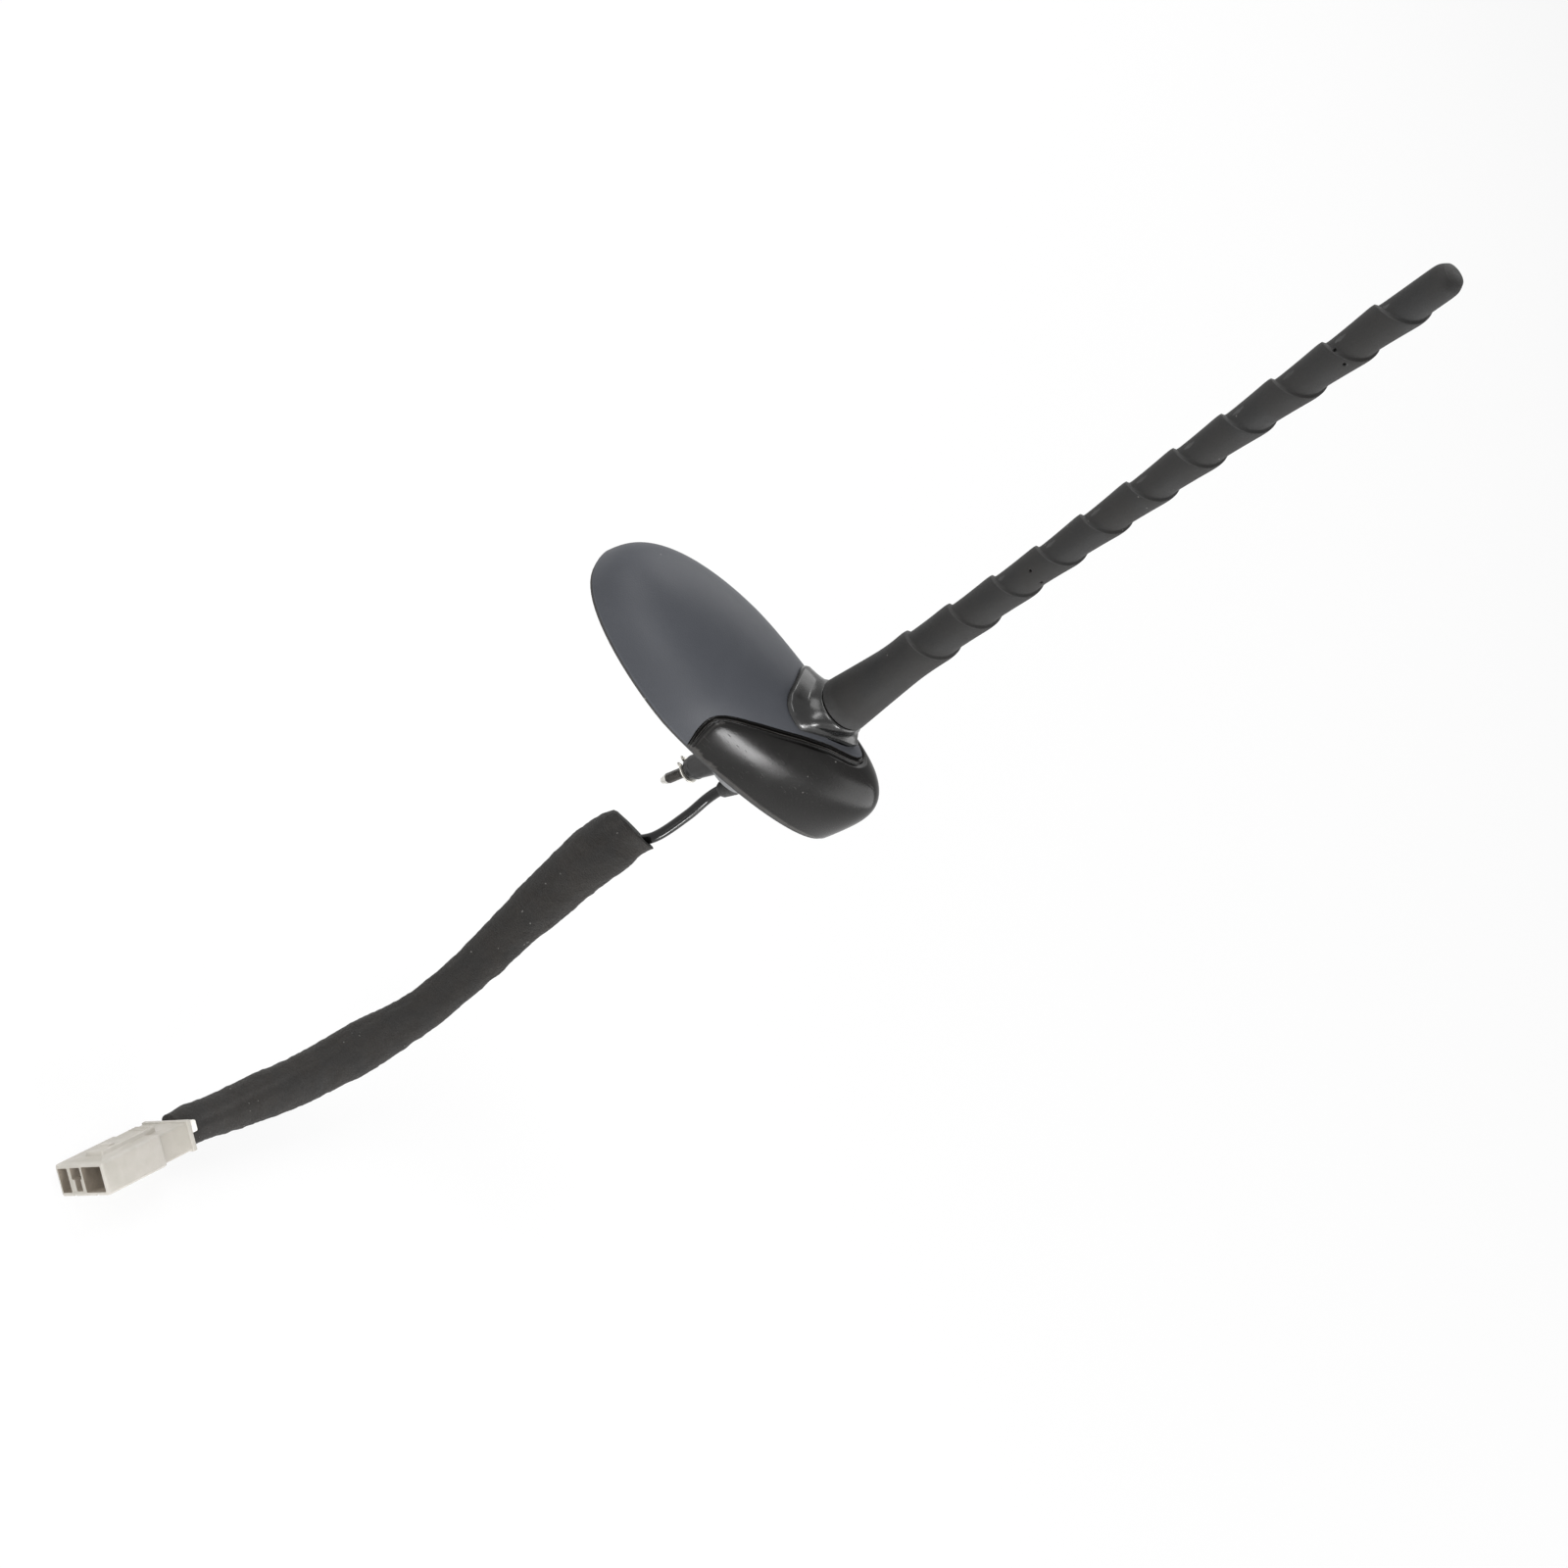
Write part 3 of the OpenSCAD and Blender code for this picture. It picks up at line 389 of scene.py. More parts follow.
# Name, size and strength in metres, and the level at which each layer of unevenness moves nothing
lump_layers = (
    ("foam lumps", 0.014, 0.0012, 0.6),
    ("foam dents", 0.0048, 0.0006, 0.58),
    ("foam nap", 0.0013, 0.0004, 0.55),
)
for texture_name, grain_size, strength, level in lump_layers:
    lumps = bpy.data.textures.new(texture_name, "CLOUDS")
    lumps.noise_scale = grain_size
    finish_with(foam, "DISPLACE", texture=lumps, texture_coords="LOCAL", strength=strength, mid_level=level,
                vertex_group="outside")
soften_light(foam, 50)
fit_out(foam, "base", "foam_sleeve")


# Copies of the moulded shells, the boss, the cast plate and the rubber jacket

# Corners of a CAD node that lie closer than this are one
node_gap = 0.02


def copy_of(node, name):
    """A new piece with the shape of a CAD node, its loose faces joined."""
    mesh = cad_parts[node].data.copy()
    mesh.materials.clear()
    mesh.name = name
    piece = bpy.data.objects.new(name, mesh)
    scene.collection.objects.link(piece)
    open_up(piece, "VERT")
    bpy.ops.mesh.select_all(action="SELECT")
    bpy.ops.mesh.remove_doubles(threshold=node_gap * MM)
    close_up()
    return piece


def smooth_copy(node, name, crease_angle):
    """Copies a CAD node, makes its triangles quads again and rounds all but its sharp edges."""
    piece = copy_of(node, name)
    open_up(piece, "VERT")
    bpy.ops.mesh.select_all(action="SELECT")
    bpy.ops.mesh.tris_convert_to_quads(
        face_threshold=math.radians(50), shape_threshold=math.radians(70))
    bpy.ops.mesh.select_all(action="DESELECT")
    bpy.ops.mesh.select_mode(type="EDGE")
    bpy.ops.mesh.edges_select_sharp(sharpness=math.radians(crease_angle))
    bpy.ops.transform.edge_crease(value=1)
    close_up()
    return finish_with(piece, "SUBSURF", levels=2, render_levels=2)


def crisp_copy(node, name, width, segments):
    """Copies a CAD node with flat faces made whole and its sharp edges rounded."""
    piece = copy_of(node, name)
    open_up(piece, "VERT")
    bpy.ops.mesh.select_all(action="SELECT")
    bpy.ops.mesh.dissolve_limited(angle_limit=math.radians(0.5))
    close_up()
    round_edges(piece, width, segments, angle=32)
    return soften_light(piece, 40)


cover = soften_light(smooth_copy("base_cover", "satin_cover", crease_angle=40))
fit_out(cover, "base", "base_cover")
nose = soften_light(smooth_copy("nose_cap", "gloss_nose", crease_angle=55))
fit_out(nose, "base", "nose_cap")
boss = crisp_copy("mast_boss", "mast_foot_boss", width=0.3, segments=3)
fit_out(boss, "base", "mast_boss")
plate = soften_light(copy_of("base_plate", "cast_plate"), 30)
fit_out(plate, "base", "base_plate")

mast_seat = 33.5
mast_rake = math.radians(11)
mast_frame = Matrix.Translation((0, 0, mast_seat * MM)) @ Matrix.Rotation(-mast_rake, 4, "Y")

jacket = smooth_copy("mast_jacket", "ribbed_jacket", crease_angle=28)
# Pin marks in two pairs: distance along the mast and angle round it, with the size and place of the cut
pin_marks = ((76.4, -117.4), (76.0, -60), (178.4, -132.7), (178.6, -82.3))
pin_radius = 0.45
pin_length = 4.4
pin_middle = 5.6
pins = []
for reach, turn in pin_marks:
    put_down()
    bpy.ops.mesh.primitive_cylinder_add(vertices=20, radius=pin_radius * MM, depth=pin_length * MM)
    pin = named(bpy.context.object, "pin")
    round_mast = Matrix.Rotation(math.radians(turn), 4, "Z")
    outward = round_mast @ Matrix.Translation((pin_middle * MM, 0, reach * MM))
    pins.append(set_in_place(pin, mast_frame @ outward @ Matrix.Rotation(math.radians(90), 4, "Y")))
cut_with(jacket, join_up(pins, "pins"))
soften_light(jacket, 30)
fit_out(jacket, "mast", "mast_jacket")


# Gasket with a sealing groove in its underside

gasket = crisp_copy("roof_gasket", "seal_gasket", width=0.25, segments=2)
choose(gasket, lambda centre, normal: normal.z < -0.99 and centre.z < 0.05)
# Rim, down one wall of the groove, across its floor and up the other wall
for step, sink in ((1.6, 0), (0.4, -0.35), (0.9, 0), (0.4, 0.35)):
    bpy.ops.mesh.inset(thickness=step * MM, depth=sink * MM, use_even_offset=True)
close_up()
soften_light(gasket, 30)
fit_out(gasket, "base", "roof_gasket")


# Clamp fixing: tower, open clip and threaded bolt

bolt_bore = 1.56
tower_foot = -21.55
tower_top = -1.05
tower = turned("grip_tower", [
    (bolt_bore, tower_foot), (2.85, tower_foot), (3.05, -21.4), (3.14, -21.1), (3.3, -20), (3.46, -19.8),
    (3.5, -19.3), (3.42, -19.1), (4.45, -10.6), (4.58, -10.1), (4.6, -9.8), (4.6, -1.2),
    (4.45, tower_top), (bolt_bore, tower_top)], sides=96, ring=True)
# Four shallow grip flats down the taper, each cut by a block that leans as the taper does
flat_lean = math.radians(7.5)
flat_shift = 2.75
for quarter in range(4):
    flat = block("flat", (3.05, -1.1, -19), (6, 1.1, -11.2), 0.3, 2)
    turn = Matrix.Rotation(math.radians(45 + 90 * quarter), 4, "Z")
    place = turn @ Matrix.Rotation(flat_lean, 4, "Y") @ Matrix.Translation((flat_shift * MM, 0, 0))
    cut_with(tower, set_in_place(flat, place))
soften_light(tower, 30)
fit_out(tower, "base", "clamp_tower")

clip_level = -22.1
clip_radius = 2.66
clip_wire = 1.0
clip_gap = 1.05
clip_flatness = 0.43
put_down()
bpy.ops.mesh.primitive_torus_add(major_segments=96, minor_segments=16, major_radius=clip_radius * MM,
                                 minor_radius=clip_wire * MM, location=(0, 0, clip_level * MM))
clip = named(bpy.context.object, "open_clip")
set_in_place(clip)
choose(clip, lambda centre, normal: centre.x < 0 and abs(centre.y) < clip_gap)
bpy.ops.mesh.delete(type="FACE")
bpy.ops.mesh.select_all(action="SELECT")
bpy.ops.mesh.fill_holes(sides=0)
bpy.ops.transform.resize(value=(1, 1, clip_flatness), center_override=(0, 0, clip_level * MM))
close_up()
# The ends of the clip turn outwards as two short ears
for side in (1, -1):
    choose(clip, lambda centre, normal: centre.x < 0 and centre.y * side > 0 and normal.y * side < -0.8
           and abs(centre.y) < clip_gap + 0.25)
    for step, lean in ((0.35, 0.1), (0.3, 0.35)):
        bpy.ops.mesh.extrude_region_move(
            TRANSFORM_OT_translate={"value": (-step * MM, lean * side * MM, 0)})
    close_up()
weld(clip)
soften_light(clip, 50)
fit_out(clip, "base", "spring_clip")

thread_pitch = 0.6
thread_turns = 12
thread_foot = -30.2
# Radius and height of one thread, from root to crest and back
screw_line = [(1.2, 0), (1.46, 0.2), (1.5, 0.26), (1.46, 0.32), (1.2, 0.5), (1.2, thread_pitch)]
thread = drawn_line("thread", [(r, 0, thread_foot + z) for r, z in screw_line])
finish_with(thread, "SCREW", axis="Z", angle=2 * math.pi, screw_offset=thread_pitch * MM,
            iterations=thread_turns, steps=40, render_steps=40, use_merge_vertices=True,
            merge_threshold=0.002 * MM)
weld(thread)
# Both open ends of the thread close in flat ends, one hidden in the shank and one in the tip
thread_head = thread_foot + thread_pitch * thread_turns
for level, test in ((thread_foot - 0.35, lambda z: z < thread_foot + thread_pitch + 0.01),
                    (thread_head + 0.95, lambda z: z > thread_head - 0.01)):
    open_up(thread, "VERT")
    bpy.ops.mesh.select_non_manifold()
    close_up()
    for point in thread.data.vertices:
        point.select = point.select and test(point.co.z / MM)
    bpy.ops.object.mode_set(mode="EDIT")
    bpy.ops.mesh.extrude_region_move(TRANSFORM_OT_translate={"value": (0, 0, 0)})
    bpy.ops.transform.resize(value=(0.8, 0.8, 0), center_override=(0, 0, level * MM))
    bpy.ops.mesh.extrude_region_move(TRANSFORM_OT_translate={"value": (0, 0, 0)})
    bpy.ops.mesh.merge(type="CENTER")
    close_up()
shank = turned("shank", [
    (0, thread_head - 0.4), (1.3, thread_head - 0.4), (1.5, thread_head + 0.1), (1.5, -1.2),
    (1.35, tower_top), (0, tower_top)], sides=48)
tip = turned("tip", [
    (0, -32), (0.62, -32), (0.86, -31.85), (1.34, thread_foot - 0.1), (1.34, thread_foot + 0.5),
    (0, thread_foot + 0.5)], sides=48)
bolt = weld(join_up([thread, shank, tip], "threaded_bolt"))
soften_light(bolt, 35)
fit_out(bolt, "base", "clamp_bolt")

# Five ribs that get smaller down the tail, each a root and a crest
tail_ribs = [(2.5 - 0.45 * rib / 5 + (0.16 if crest else -0.06), -7.75 - 0.68 * rib - 0.3 * crest)
             for rib in range(5) for crest in (0, 1)]
grommet = turned("ribbed_grommet", [
    (1.56, 3.5), (2.38, 3.5), (2.38, -6.05), (2.66, -6.08), (2.8, -6.3), (2.8, -7.15), (2.66, -7.38),
    *tail_ribs, (2.02, -11.1), (1.98, -11.33), (1.86, -11.4), (1.74, -11.4), (1.66, -11.2), (1.6, -10.6)],
    ring=True)
set_in_place(grommet, Matrix.Translation((grommet_mouth[0] * MM, grommet_mouth[1] * MM, 0)))
soften_light(grommet, 45)
fit_out(grommet, "base", "cable_grommet")


# Plug housing, white retainer and terminals, made flat and then set on the end of the lead

plug_back = Vector((-29.3, -130.8, -124.5))
plug_yaw = math.radians(-117.1)
plug_pitch = math.radians(-0.6)
plug_roll = math.radians(77)
plug_frame = (Matrix.Translation(plug_back * MM) @ Matrix.Rotation(plug_yaw, 4, "Z")
              @ Matrix.Rotation(plug_pitch, 4, "Y") @ Matrix.Rotation(plug_roll, 4, "X"))
plug_face = 33

plug = block("plug_shell", (11.6, -8.5, -4.3), (plug_face, 8.5, 4.3))
round_edges(plug, 0.75, 4)
back = block("back", (0, -7.8, -3.8), (12.6, 7.8, 3.8), 0.6, 4)
cut_with(plug, back, "UNION")
# A lip stands round the rear end, with a groove in front of it
rear_lip = block("rear_lip", (0, -8.2, -4.2), (1.5, 8.2, 4.2), 0.35, 3)
cut_with(plug, rear_lip, "UNION")
# Latch strip along one side, narrower and sloped at its front end, with an open gap under it
strip_front = 28
strip = block("strip", (8, -3.4, 3.2), (strip_front, 3.4, 5.4))
choose(strip, lambda centre, normal: normal.x > 0.9)
bpy.ops.transform.resize(value=(1, 0.9, 1), center_override=(strip_front * MM, 0, 0))
close_up()
choose(strip, lambda point: point.x > strip_front - 1 and point.z > 5, "VERT")
bpy.ops.transform.translate(value=(-1.4 * MM, 0, 0))
close_up()
round_edges(strip, 0.35, 3)
cut_with(strip, block("latch_gap", (7, -2.4, 4.42), (24.5, 2.4, 4.88)))
cut_with(plug, strip, "UNION")
# Press pad with three grip bars at the latch's free end, and its catch towards the face
for bar in range(3):
    cut_with(plug, block("bar", (8.7 + 1.1 * bar, -2.7, 5.2), (9.2 + 1.1 * bar, 2.7, 5.62), 0.15, 2), "UNION")
catch = block("catch", (21.2, -1.9, 5.2), (24.4, 1.9, 5.75), 0.12, 2)
choose(catch, lambda point: point.x > 23 and point.z > 5.6, "VERT")
bpy.ops.transform.translate(value=(-1.8 * MM, 0, 0))
close_up()
cut_with(plug, catch, "UNION")
# One wide slot, a keyed one that is narrower low down, and a narrow one
slots = (
    ((24, 0.8, -3.3), (34, 7.6, 3.4)),
    ((24, -3.3, 0.2), (34, 0.15, 3.3)),
    ((24, -2.5, -2.9), (34, -0.3, 1)),
    ((24, -7.6, -3.2), (34, -4.4, 3.2)),
)
for low, high in slots:
    cut_with(plug, block("slot", low, high, 0.3, 3))
# The rear bay takes the white retainer
cut_with(plug, block("rear_bay", (-1, -6.5, -2.7), (10, 6.5, 2.7), 0.25, 2))
for side in (1, -1):
    cut_with(plug, block("key_groove", (26, side * 4 - 0.6, -4.7), (34, side * 4 + 0.6, -3.95), 0.08, 2))
round_edges(plug, 0.12, 2, angle=50)
soften_light(plug, 40)

retainer = block("white_retainer", (-0.6, -6.4, -2.6), (4, 6.4, 2.6), 0.3, 3)
ear = block("ear", (-2, 5.2, 0.4), (0.02, 8.1, 3.5), 0.5, 3)
cut_with(retainer, ear, "UNION")
put_down()
bpy.ops.mesh.primitive_cylinder_add(vertices=40, radius=1.75 * MM, depth=12 * MM,
                                    rotation=(0, math.radians(90), 0))
cut_with(retainer, set_in_place(named(bpy.context.object, "lead_way")))
for side in (1, -1):
    cut_with(retainer, block("notch", (-1, side * 4.1 - 0.5, -3), (0.3, side * 4.1 + 0.5, 3), 0.1, 2))
round_edges(retainer, 0.08, 2, angle=50)
set_in_place(retainer, plug_frame)
soften_light(retainer, 40)
fit_out(retainer, "base", "terminal_retainer")

blade_tip = 29.05
blade = block("blade", (24.05, -0.5, -1.2), (blade_tip, 0.5, 1.2))
choose(blade, lambda centre, normal: normal.x > 0.9)
bpy.ops.mesh.extrude_region_move(TRANSFORM_OT_translate={"value": (0, 0, 0)})
bpy.ops.transform.resize(value=(1, 0.45, 0.7), center_override=(blade_tip * MM, 0, 0))
close_up()
choose(blade, lambda centre, normal: abs(normal.y) > 0.9)
bpy.ops.mesh.inset(thickness=0.45 * MM, depth=-0.14 * MM, use_individual=True)
close_up()
weld(blade, 0.001)
round_edges(blade, 0.07, 2, angle=30)
# How far each blade lies to one side of the plug's middle
blade_places = (-4.9, 0.4, 5)
blades = []
for away in blade_places:
    one = bpy.data.objects.new("blade", blade.data.copy())
    scene.collection.objects.link(one)
    blades.append(set_in_place(one, plug_frame @ Matrix.Translation((0, -away * MM, 0))))
bpy.data.objects.remove(blade, do_unlink=True)
terminals = join_up(blades, "contact_blades")
soften_light(terminals, 35)
fit_out(terminals, "base", "plug_terminals")


# Finishes


def plug_in(tree, item, feeds):
    """Joins or fills the sockets of one shader node."""
    for socket, source in feeds:
        if isinstance(source, bpy.types.NodeSocket):
            tree.links.new(source, item.inputs[socket])
        else:
            item.inputs[socket].default_value = source
    return item


def make(tree, kind, feeds=(), **traits):
    """Adds one shader node, sets its traits, and joins or fills its sockets."""
    item = tree.nodes.new("ShaderNode" + kind)
    for trait, value in traits.items():
        setattr(item, trait, value)
    return plug_in(tree, item, feeds)


def use(tree, group, feeds):
    """Places a shared effect in a material and returns its outputs."""
    item = tree.nodes.new("ShaderNodeGroup")
    item.node_tree = group
    return plug_in(tree, item, feeds).outputs


def sums(tree, operation, *values):
    return make(tree, "Math", list(enumerate(values)), operation=operation).outputs[0]


def effect(name, takes, gives):
    """Starts a shared effect with named inputs and outputs."""
    group = bpy.data.node_groups.new(name, "ShaderNodeTree")
    kinds = {"place": "NodeSocketVector", "value": "NodeSocketFloat"}
    place = group.interface.new_socket("Place", in_out="INPUT", socket_type=kinds["place"])
    place.hide_value = True
    for label, value in takes:
        socket = group.interface.new_socket(label, in_out="INPUT", socket_type=kinds["value"])
        socket.default_value = value
    group.interface.new_socket(gives, in_out="OUTPUT", socket_type=kinds["value"])
    return group, group.nodes.new("NodeGroupInput").outputs, group.nodes.new("NodeGroupOutput").inputs[0]


def grain_effect():
    """Fine spark-eroded grain of a mould, as a height."""
    group, takes, gives = effect("mould grain", [("Scale", 2200.0)], "Height")
    fine = make(group, "TexNoise", [("Vector", takes["Place"]), ("Scale", takes["Scale"]),
                                    ("Detail", 3.0), ("Roughness", 0.62)])
    cells = make(group, "TexVoronoi", [("Vector", takes["Place"]), ("Scale", takes["Scale"])])
    both = sums(group, "ADD", fine.outputs["Fac"], cells.outputs["Distance"])
    group.links.new(sums(group, "MULTIPLY", both, 0.5), gives)
    return group


def mottle_effect():
    """Slow drift of tone over a moulding, from 0 to 1."""
    group, takes, gives = effect("slow mottle", [("Scale", 60.0), ("Low", 0.35), ("High", 0.65)], "Mask")
    cloud = make(group, "TexNoise", [("Vector", takes["Place"]), ("Scale", takes["Scale"]),
                                     ("Detail", 4.0), ("Roughness", 0.55), ("Distortion", 0.4)])
    spread = make(group, "MapRange", [("Value", cloud.outputs["Fac"]), ("From Min", takes["Low"]),
                                      ("From Max", takes["High"])], interpolation_type="SMOOTHSTEP")
    group.links.new(spread.outputs["Result"], gives)
    return group


def speck_effect():
    """Sparse specks of lint or dust, 1 on a speck."""
    group, takes, gives = effect("lint specks", [("Scale", 420.0), ("Share", 0.1), ("Size", 0.16)], "Mask")
    wobble = make(group, "TexNoise", [("Vector", takes["Place"]), ("Scale", 900.0), ("Detail", 2.0)])
    bent = make(group, "Mix", [("Factor", 0.0012), (4, takes["Place"]), (5, wobble.outputs["Color"])],
                data_type="VECTOR")
    cells = make(group, "TexVoronoi", [("Vector", bent.outputs[1]), ("Scale", takes["Scale"])])
    near = sums(group, "LESS_THAN", cells.outputs["Distance"], takes["Size"])
    parts = make(group, "SeparateColor", [("Color", cells.outputs["Color"])])
    few = sums(group, "LESS_THAN", parts.outputs[0], takes["Share"])
    group.links.new(sums(group, "MULTIPLY", near, few), gives)
    return group


def edge_wear_and_highlight_effect():
    """Sharp edges picked out and broken up by a fine noise: wear on most parts, and painted highlight along
    the nose's beads.
    """
    group, takes, gives = effect("rubbed edges", [("Low", 0.52), ("High", 0.6)], "Mask")
    shape = make(group, "NewGeometry")
    edge = make(group, "MapRange", [("Value", shape.outputs["Pointiness"]), ("From Min", takes["Low"]),
                                    ("From Max", takes["High"])])
    breakup = make(group, "TexNoise", [("Vector", takes["Place"]), ("Scale", 350.0), ("Detail", 4.0)])
    group.links.new(sums(group, "MULTIPLY", edge.outputs["Result"], breakup.outputs["Fac"]), gives)
    return group


def scratch_effect():
    """Hairline scratches that run in two directions, 1 on a scratch."""
    group, takes, gives = effect("hairlines", [("Fineness", 0.53)], "Mask")
    lines = []
    for turn, long in ((0.5, 14.0), (-0.9, 20.0)):
        drawn = make(group, "Mapping", [("Vector", takes["Place"]), ("Rotation", (0.3, turn, turn)),
                                        ("Scale", (1.0, long, long * 0.7))])
        noise = make(group, "TexNoise", [("Vector", drawn.outputs[0]), ("Scale", 130.0), ("Detail", 2.0)])
        lines.append(make(group, "MapRange", [
            ("Value", noise.outputs["Fac"]), ("From Min", sums(group, "ADD", takes["Fineness"], 0.13)),
            ("From Max", sums(group, "ADD", takes["Fineness"], 0.2))]).outputs["Result"])
    group.links.new(sums(group, "MAXIMUM", *lines), gives)
    return group


def felt_effect():
    """Tangled short fibres of felted foam, as a height."""
    group, takes, gives = effect("felt fibres", [("Scale", 700.0)], "Height")
    wander = make(group, "TexNoise", [("Vector", takes["Place"]), ("Scale", 260.0), ("Detail", 2.0)])
    bent = make(group, "Mix", [("Factor", 0.004), (4, takes["Place"]), (5, wander.outputs["Color"])],
                data_type="VECTOR")
    heights = []
    for turn in (0.2, 1.3, 2.4):
        laid = make(group, "Mapping", [("Vector", bent.outputs[1]), ("Rotation", (turn, turn * 2, turn * 3)),
                                       ("Scale", (1.0, 5.0, 5.0))])
        heights.append(make(group, "TexNoise", [("Vector", laid.outputs[0]), ("Scale", takes["Scale"]),
                                                ("Detail", 3.0), ("Roughness", 0.7)]).outputs["Fac"])
    group.links.new(sums(group, "MAXIMUM", sums(group, "MAXIMUM", *heights[:2]), heights[2]), gives)
    return group


def turning_effect():
    """Fine rings that a lathe leaves round the mast's axis, as a height."""
    group, takes, gives = effect("turning rings", [("Scale", 900.0)], "Height")
    upright = make(group, "Mapping", [("Vector", takes["Place"]), ("Rotation", (0, mast_rake, 0))])
    rings = make(group, "TexWave", [("Vector", upright.outputs[0]), ("Scale", takes["Scale"]),
                                    ("Distortion", 0.6)], wave_type="BANDS", bands_direction="Z")
    group.links.new(rings.outputs["Fac"], gives)
    return group


GRAIN = grain_effect()
MOTTLE = mottle_effect()
SPECKS = speck_effect()
EDGE_WEAR_AND_HIGHLIGHT = edge_wear_and_highlight_effect()
HAIRLINES = scratch_effect()
FELT = felt_effect()
TURNING = turning_effect()


def shade(rgb):
    """Linear colour of a tone written as it looks, from 0 to 255."""
    linear = [((v / 255 + 0.055) / 1.055) ** 2.4 if v > 10 else v / 255 / 12.92 for v in rgb]
    return (*linear, 1)


lint_tone = (170, 168, 164)
lint_share = 0.3
lint_scale = 520.0
lint_size = 0.11
# Pale tone that the bolt's tip is coloured below a given height
pale_tip_tone = (205, 203, 198)


def wear_and_highlight_tone(tone):
    """The paler tone that a finish takes on its worn edges, pale enough to serve also as painted highlight on
    the nose's beads.
    """
    return [min(255, v * 1.7 + 36) for v in tone]


def blend_colour(tree, mask, under, over):
    """One colour over another, where the mask says."""
    mix = make(tree, "Mix", [("Factor", mask), (6, under), (7, over)], data_type="RGBA")
    return mix.outputs[2]


def finish_of(name, tone, second, rough, dust, surface=None, surface_scale=2200, depth=0.00006,
              mottle=60, wear_and_highlight=0.0, wear_and_highlight_from=0.52, hairlines=0.0, pale_below=None, **shader_values):
    """A finish: two close tones, a surface height, slow change of gloss, lint, pale sharp edges (wear, and
    painted highlight on the nose), hairlines.
    """
    finish = bpy.data.materials.new(name)
    finish.use_nodes = True
    tree = finish.node_tree
    shader = tree.nodes["Principled BSDF"]
    for socket, value in shader_values.items():
        shader.inputs[socket.replace("_", " ")].default_value = value
    place = make(tree, "TexCoord").outputs["Object"]
    drift = use(tree, MOTTLE, [("Place", place), ("Scale", float(mottle))])[0]
    colour = blend_colour(tree, drift, shade(tone), shade(second))
    # Paler sharp edges: wear on most parts, and painted highlight where the amount is large, as on the nose.
    if wear_and_highlight:
        rubbed_and_highlit = use(tree, EDGE_WEAR_AND_HIGHLIGHT, [("Place", place), ("Low", wear_and_highlight_from),
                                    ("High", wear_and_highlight_from * 1.1 - 0.03)])[0]
        colour = blend_colour(tree, sums(tree, "MULTIPLY", rubbed_and_highlit, wear_and_highlight), colour, shade(wear_and_highlight_tone(tone)))
    if dust:
        lint = use(tree, SPECKS, [("Place", place), ("Scale", lint_scale), ("Share", dust),
                                  ("Size", lint_size)])[0]
        colour = blend_colour(tree, sums(tree, "MULTIPLY", lint, lint_share), colour, shade(lint_tone))
    if pale_below is not None:
        height = make(tree, "SeparateXYZ", [("Vector", place)]).outputs["Z"]
        low = sums(tree, "LESS_THAN", height, pale_below)
        colour = blend_colour(tree, low, colour, shade(pale_tip_tone))
    tree.links.new(colour, shader.inputs["Base Color"])
    gloss = make(tree, "MapRange", [("Value", drift), ("To Min", rough[0]), ("To Max", rough[1])])
    dull = gloss.outputs["Result"]
    if hairlines:
        marks = use(tree, HAIRLINES, [("Place", place)])[0]
        dull = sums(tree, "ADD", dull, sums(tree, "MULTIPLY", marks, hairlines))
    tree.links.new(dull, shader.inputs["Roughness"])
    height = use(tree, surface or GRAIN, [("Place", place), ("Scale", float(surface_scale))])[0]
    bump = make(tree, "Bump", [("Height", height), ("Strength", 1.0), ("Distance", depth)])
    tree.links.new(bump.outputs["Normal"], shader.inputs["Normal"])
    return finish


def dress(piece, finish):
    """Gives a new piece its one finish."""
    piece.data.materials.clear()
    piece.data.materials.append(finish)


def dress_node(node, finish):
    """Gives a CAD node that stays its finish."""
    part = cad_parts[node]
    for place in part.material_slots:
        place.material = finish
    if not part.material_slots:
        part.data.materials.append(finish)


dress(cover, finish_of("satin cover plastic", (57, 59, 64), (62, 64, 69), rough=(0.5, 0.56),
                       surface_scale=2600, depth=0.00003, mottle=30, dust=0.02, wear_and_highlight=0.12, hairlines=0.05,
                       Specular_IOR_Level=0.3))
# The strong pale edges on the nose are painted highlight along the lip's beads, in place of their reflections
# of the lamps.
dress(nose, finish_of("gloss nose plastic", (16, 15, 14), (20, 19, 18), rough=(0.19, 0.24),
                      surface_scale=1300, depth=0.000008, mottle=45, dust=0.03, wear_and_highlight=2.0, wear_and_highlight_from=0.51,
                      hairlines=0.12, Specular_IOR_Level=0.2))
dress(boss, finish_of("gloss boss plastic", (15, 15, 15), (19, 19, 18), rough=(0.2, 0.26),
                      surface_scale=1500, depth=0.000012, mottle=60, dust=0.03, wear_and_highlight=0.5, hairlines=0.1,
                      Specular_IOR_Level=0.45))
dress(jacket, finish_of("mast rubber", (27, 27, 27), (34, 33, 32), rough=(0.6, 0.72), surface_scale=3000,
                        depth=0.00009, mottle=55, dust=0.04, wear_and_highlight=0.6, Specular_IOR_Level=0.3))
dress(gasket, finish_of("seal rubber", (28, 28, 28), (36, 35, 34), rough=(0.68, 0.8), depth=0.00008,
                        dust=0.04, wear_and_highlight=0.3))
dress(foam, finish_of("felted foam", (22, 20, 18), (34, 31, 28), rough=(0.9, 0.97), surface=FELT,
                      surface_scale=420, depth=0.0007, mottle=130, dust=0.16, Sheen_Weight=0.05,
                      Sheen_Roughness=0.6))
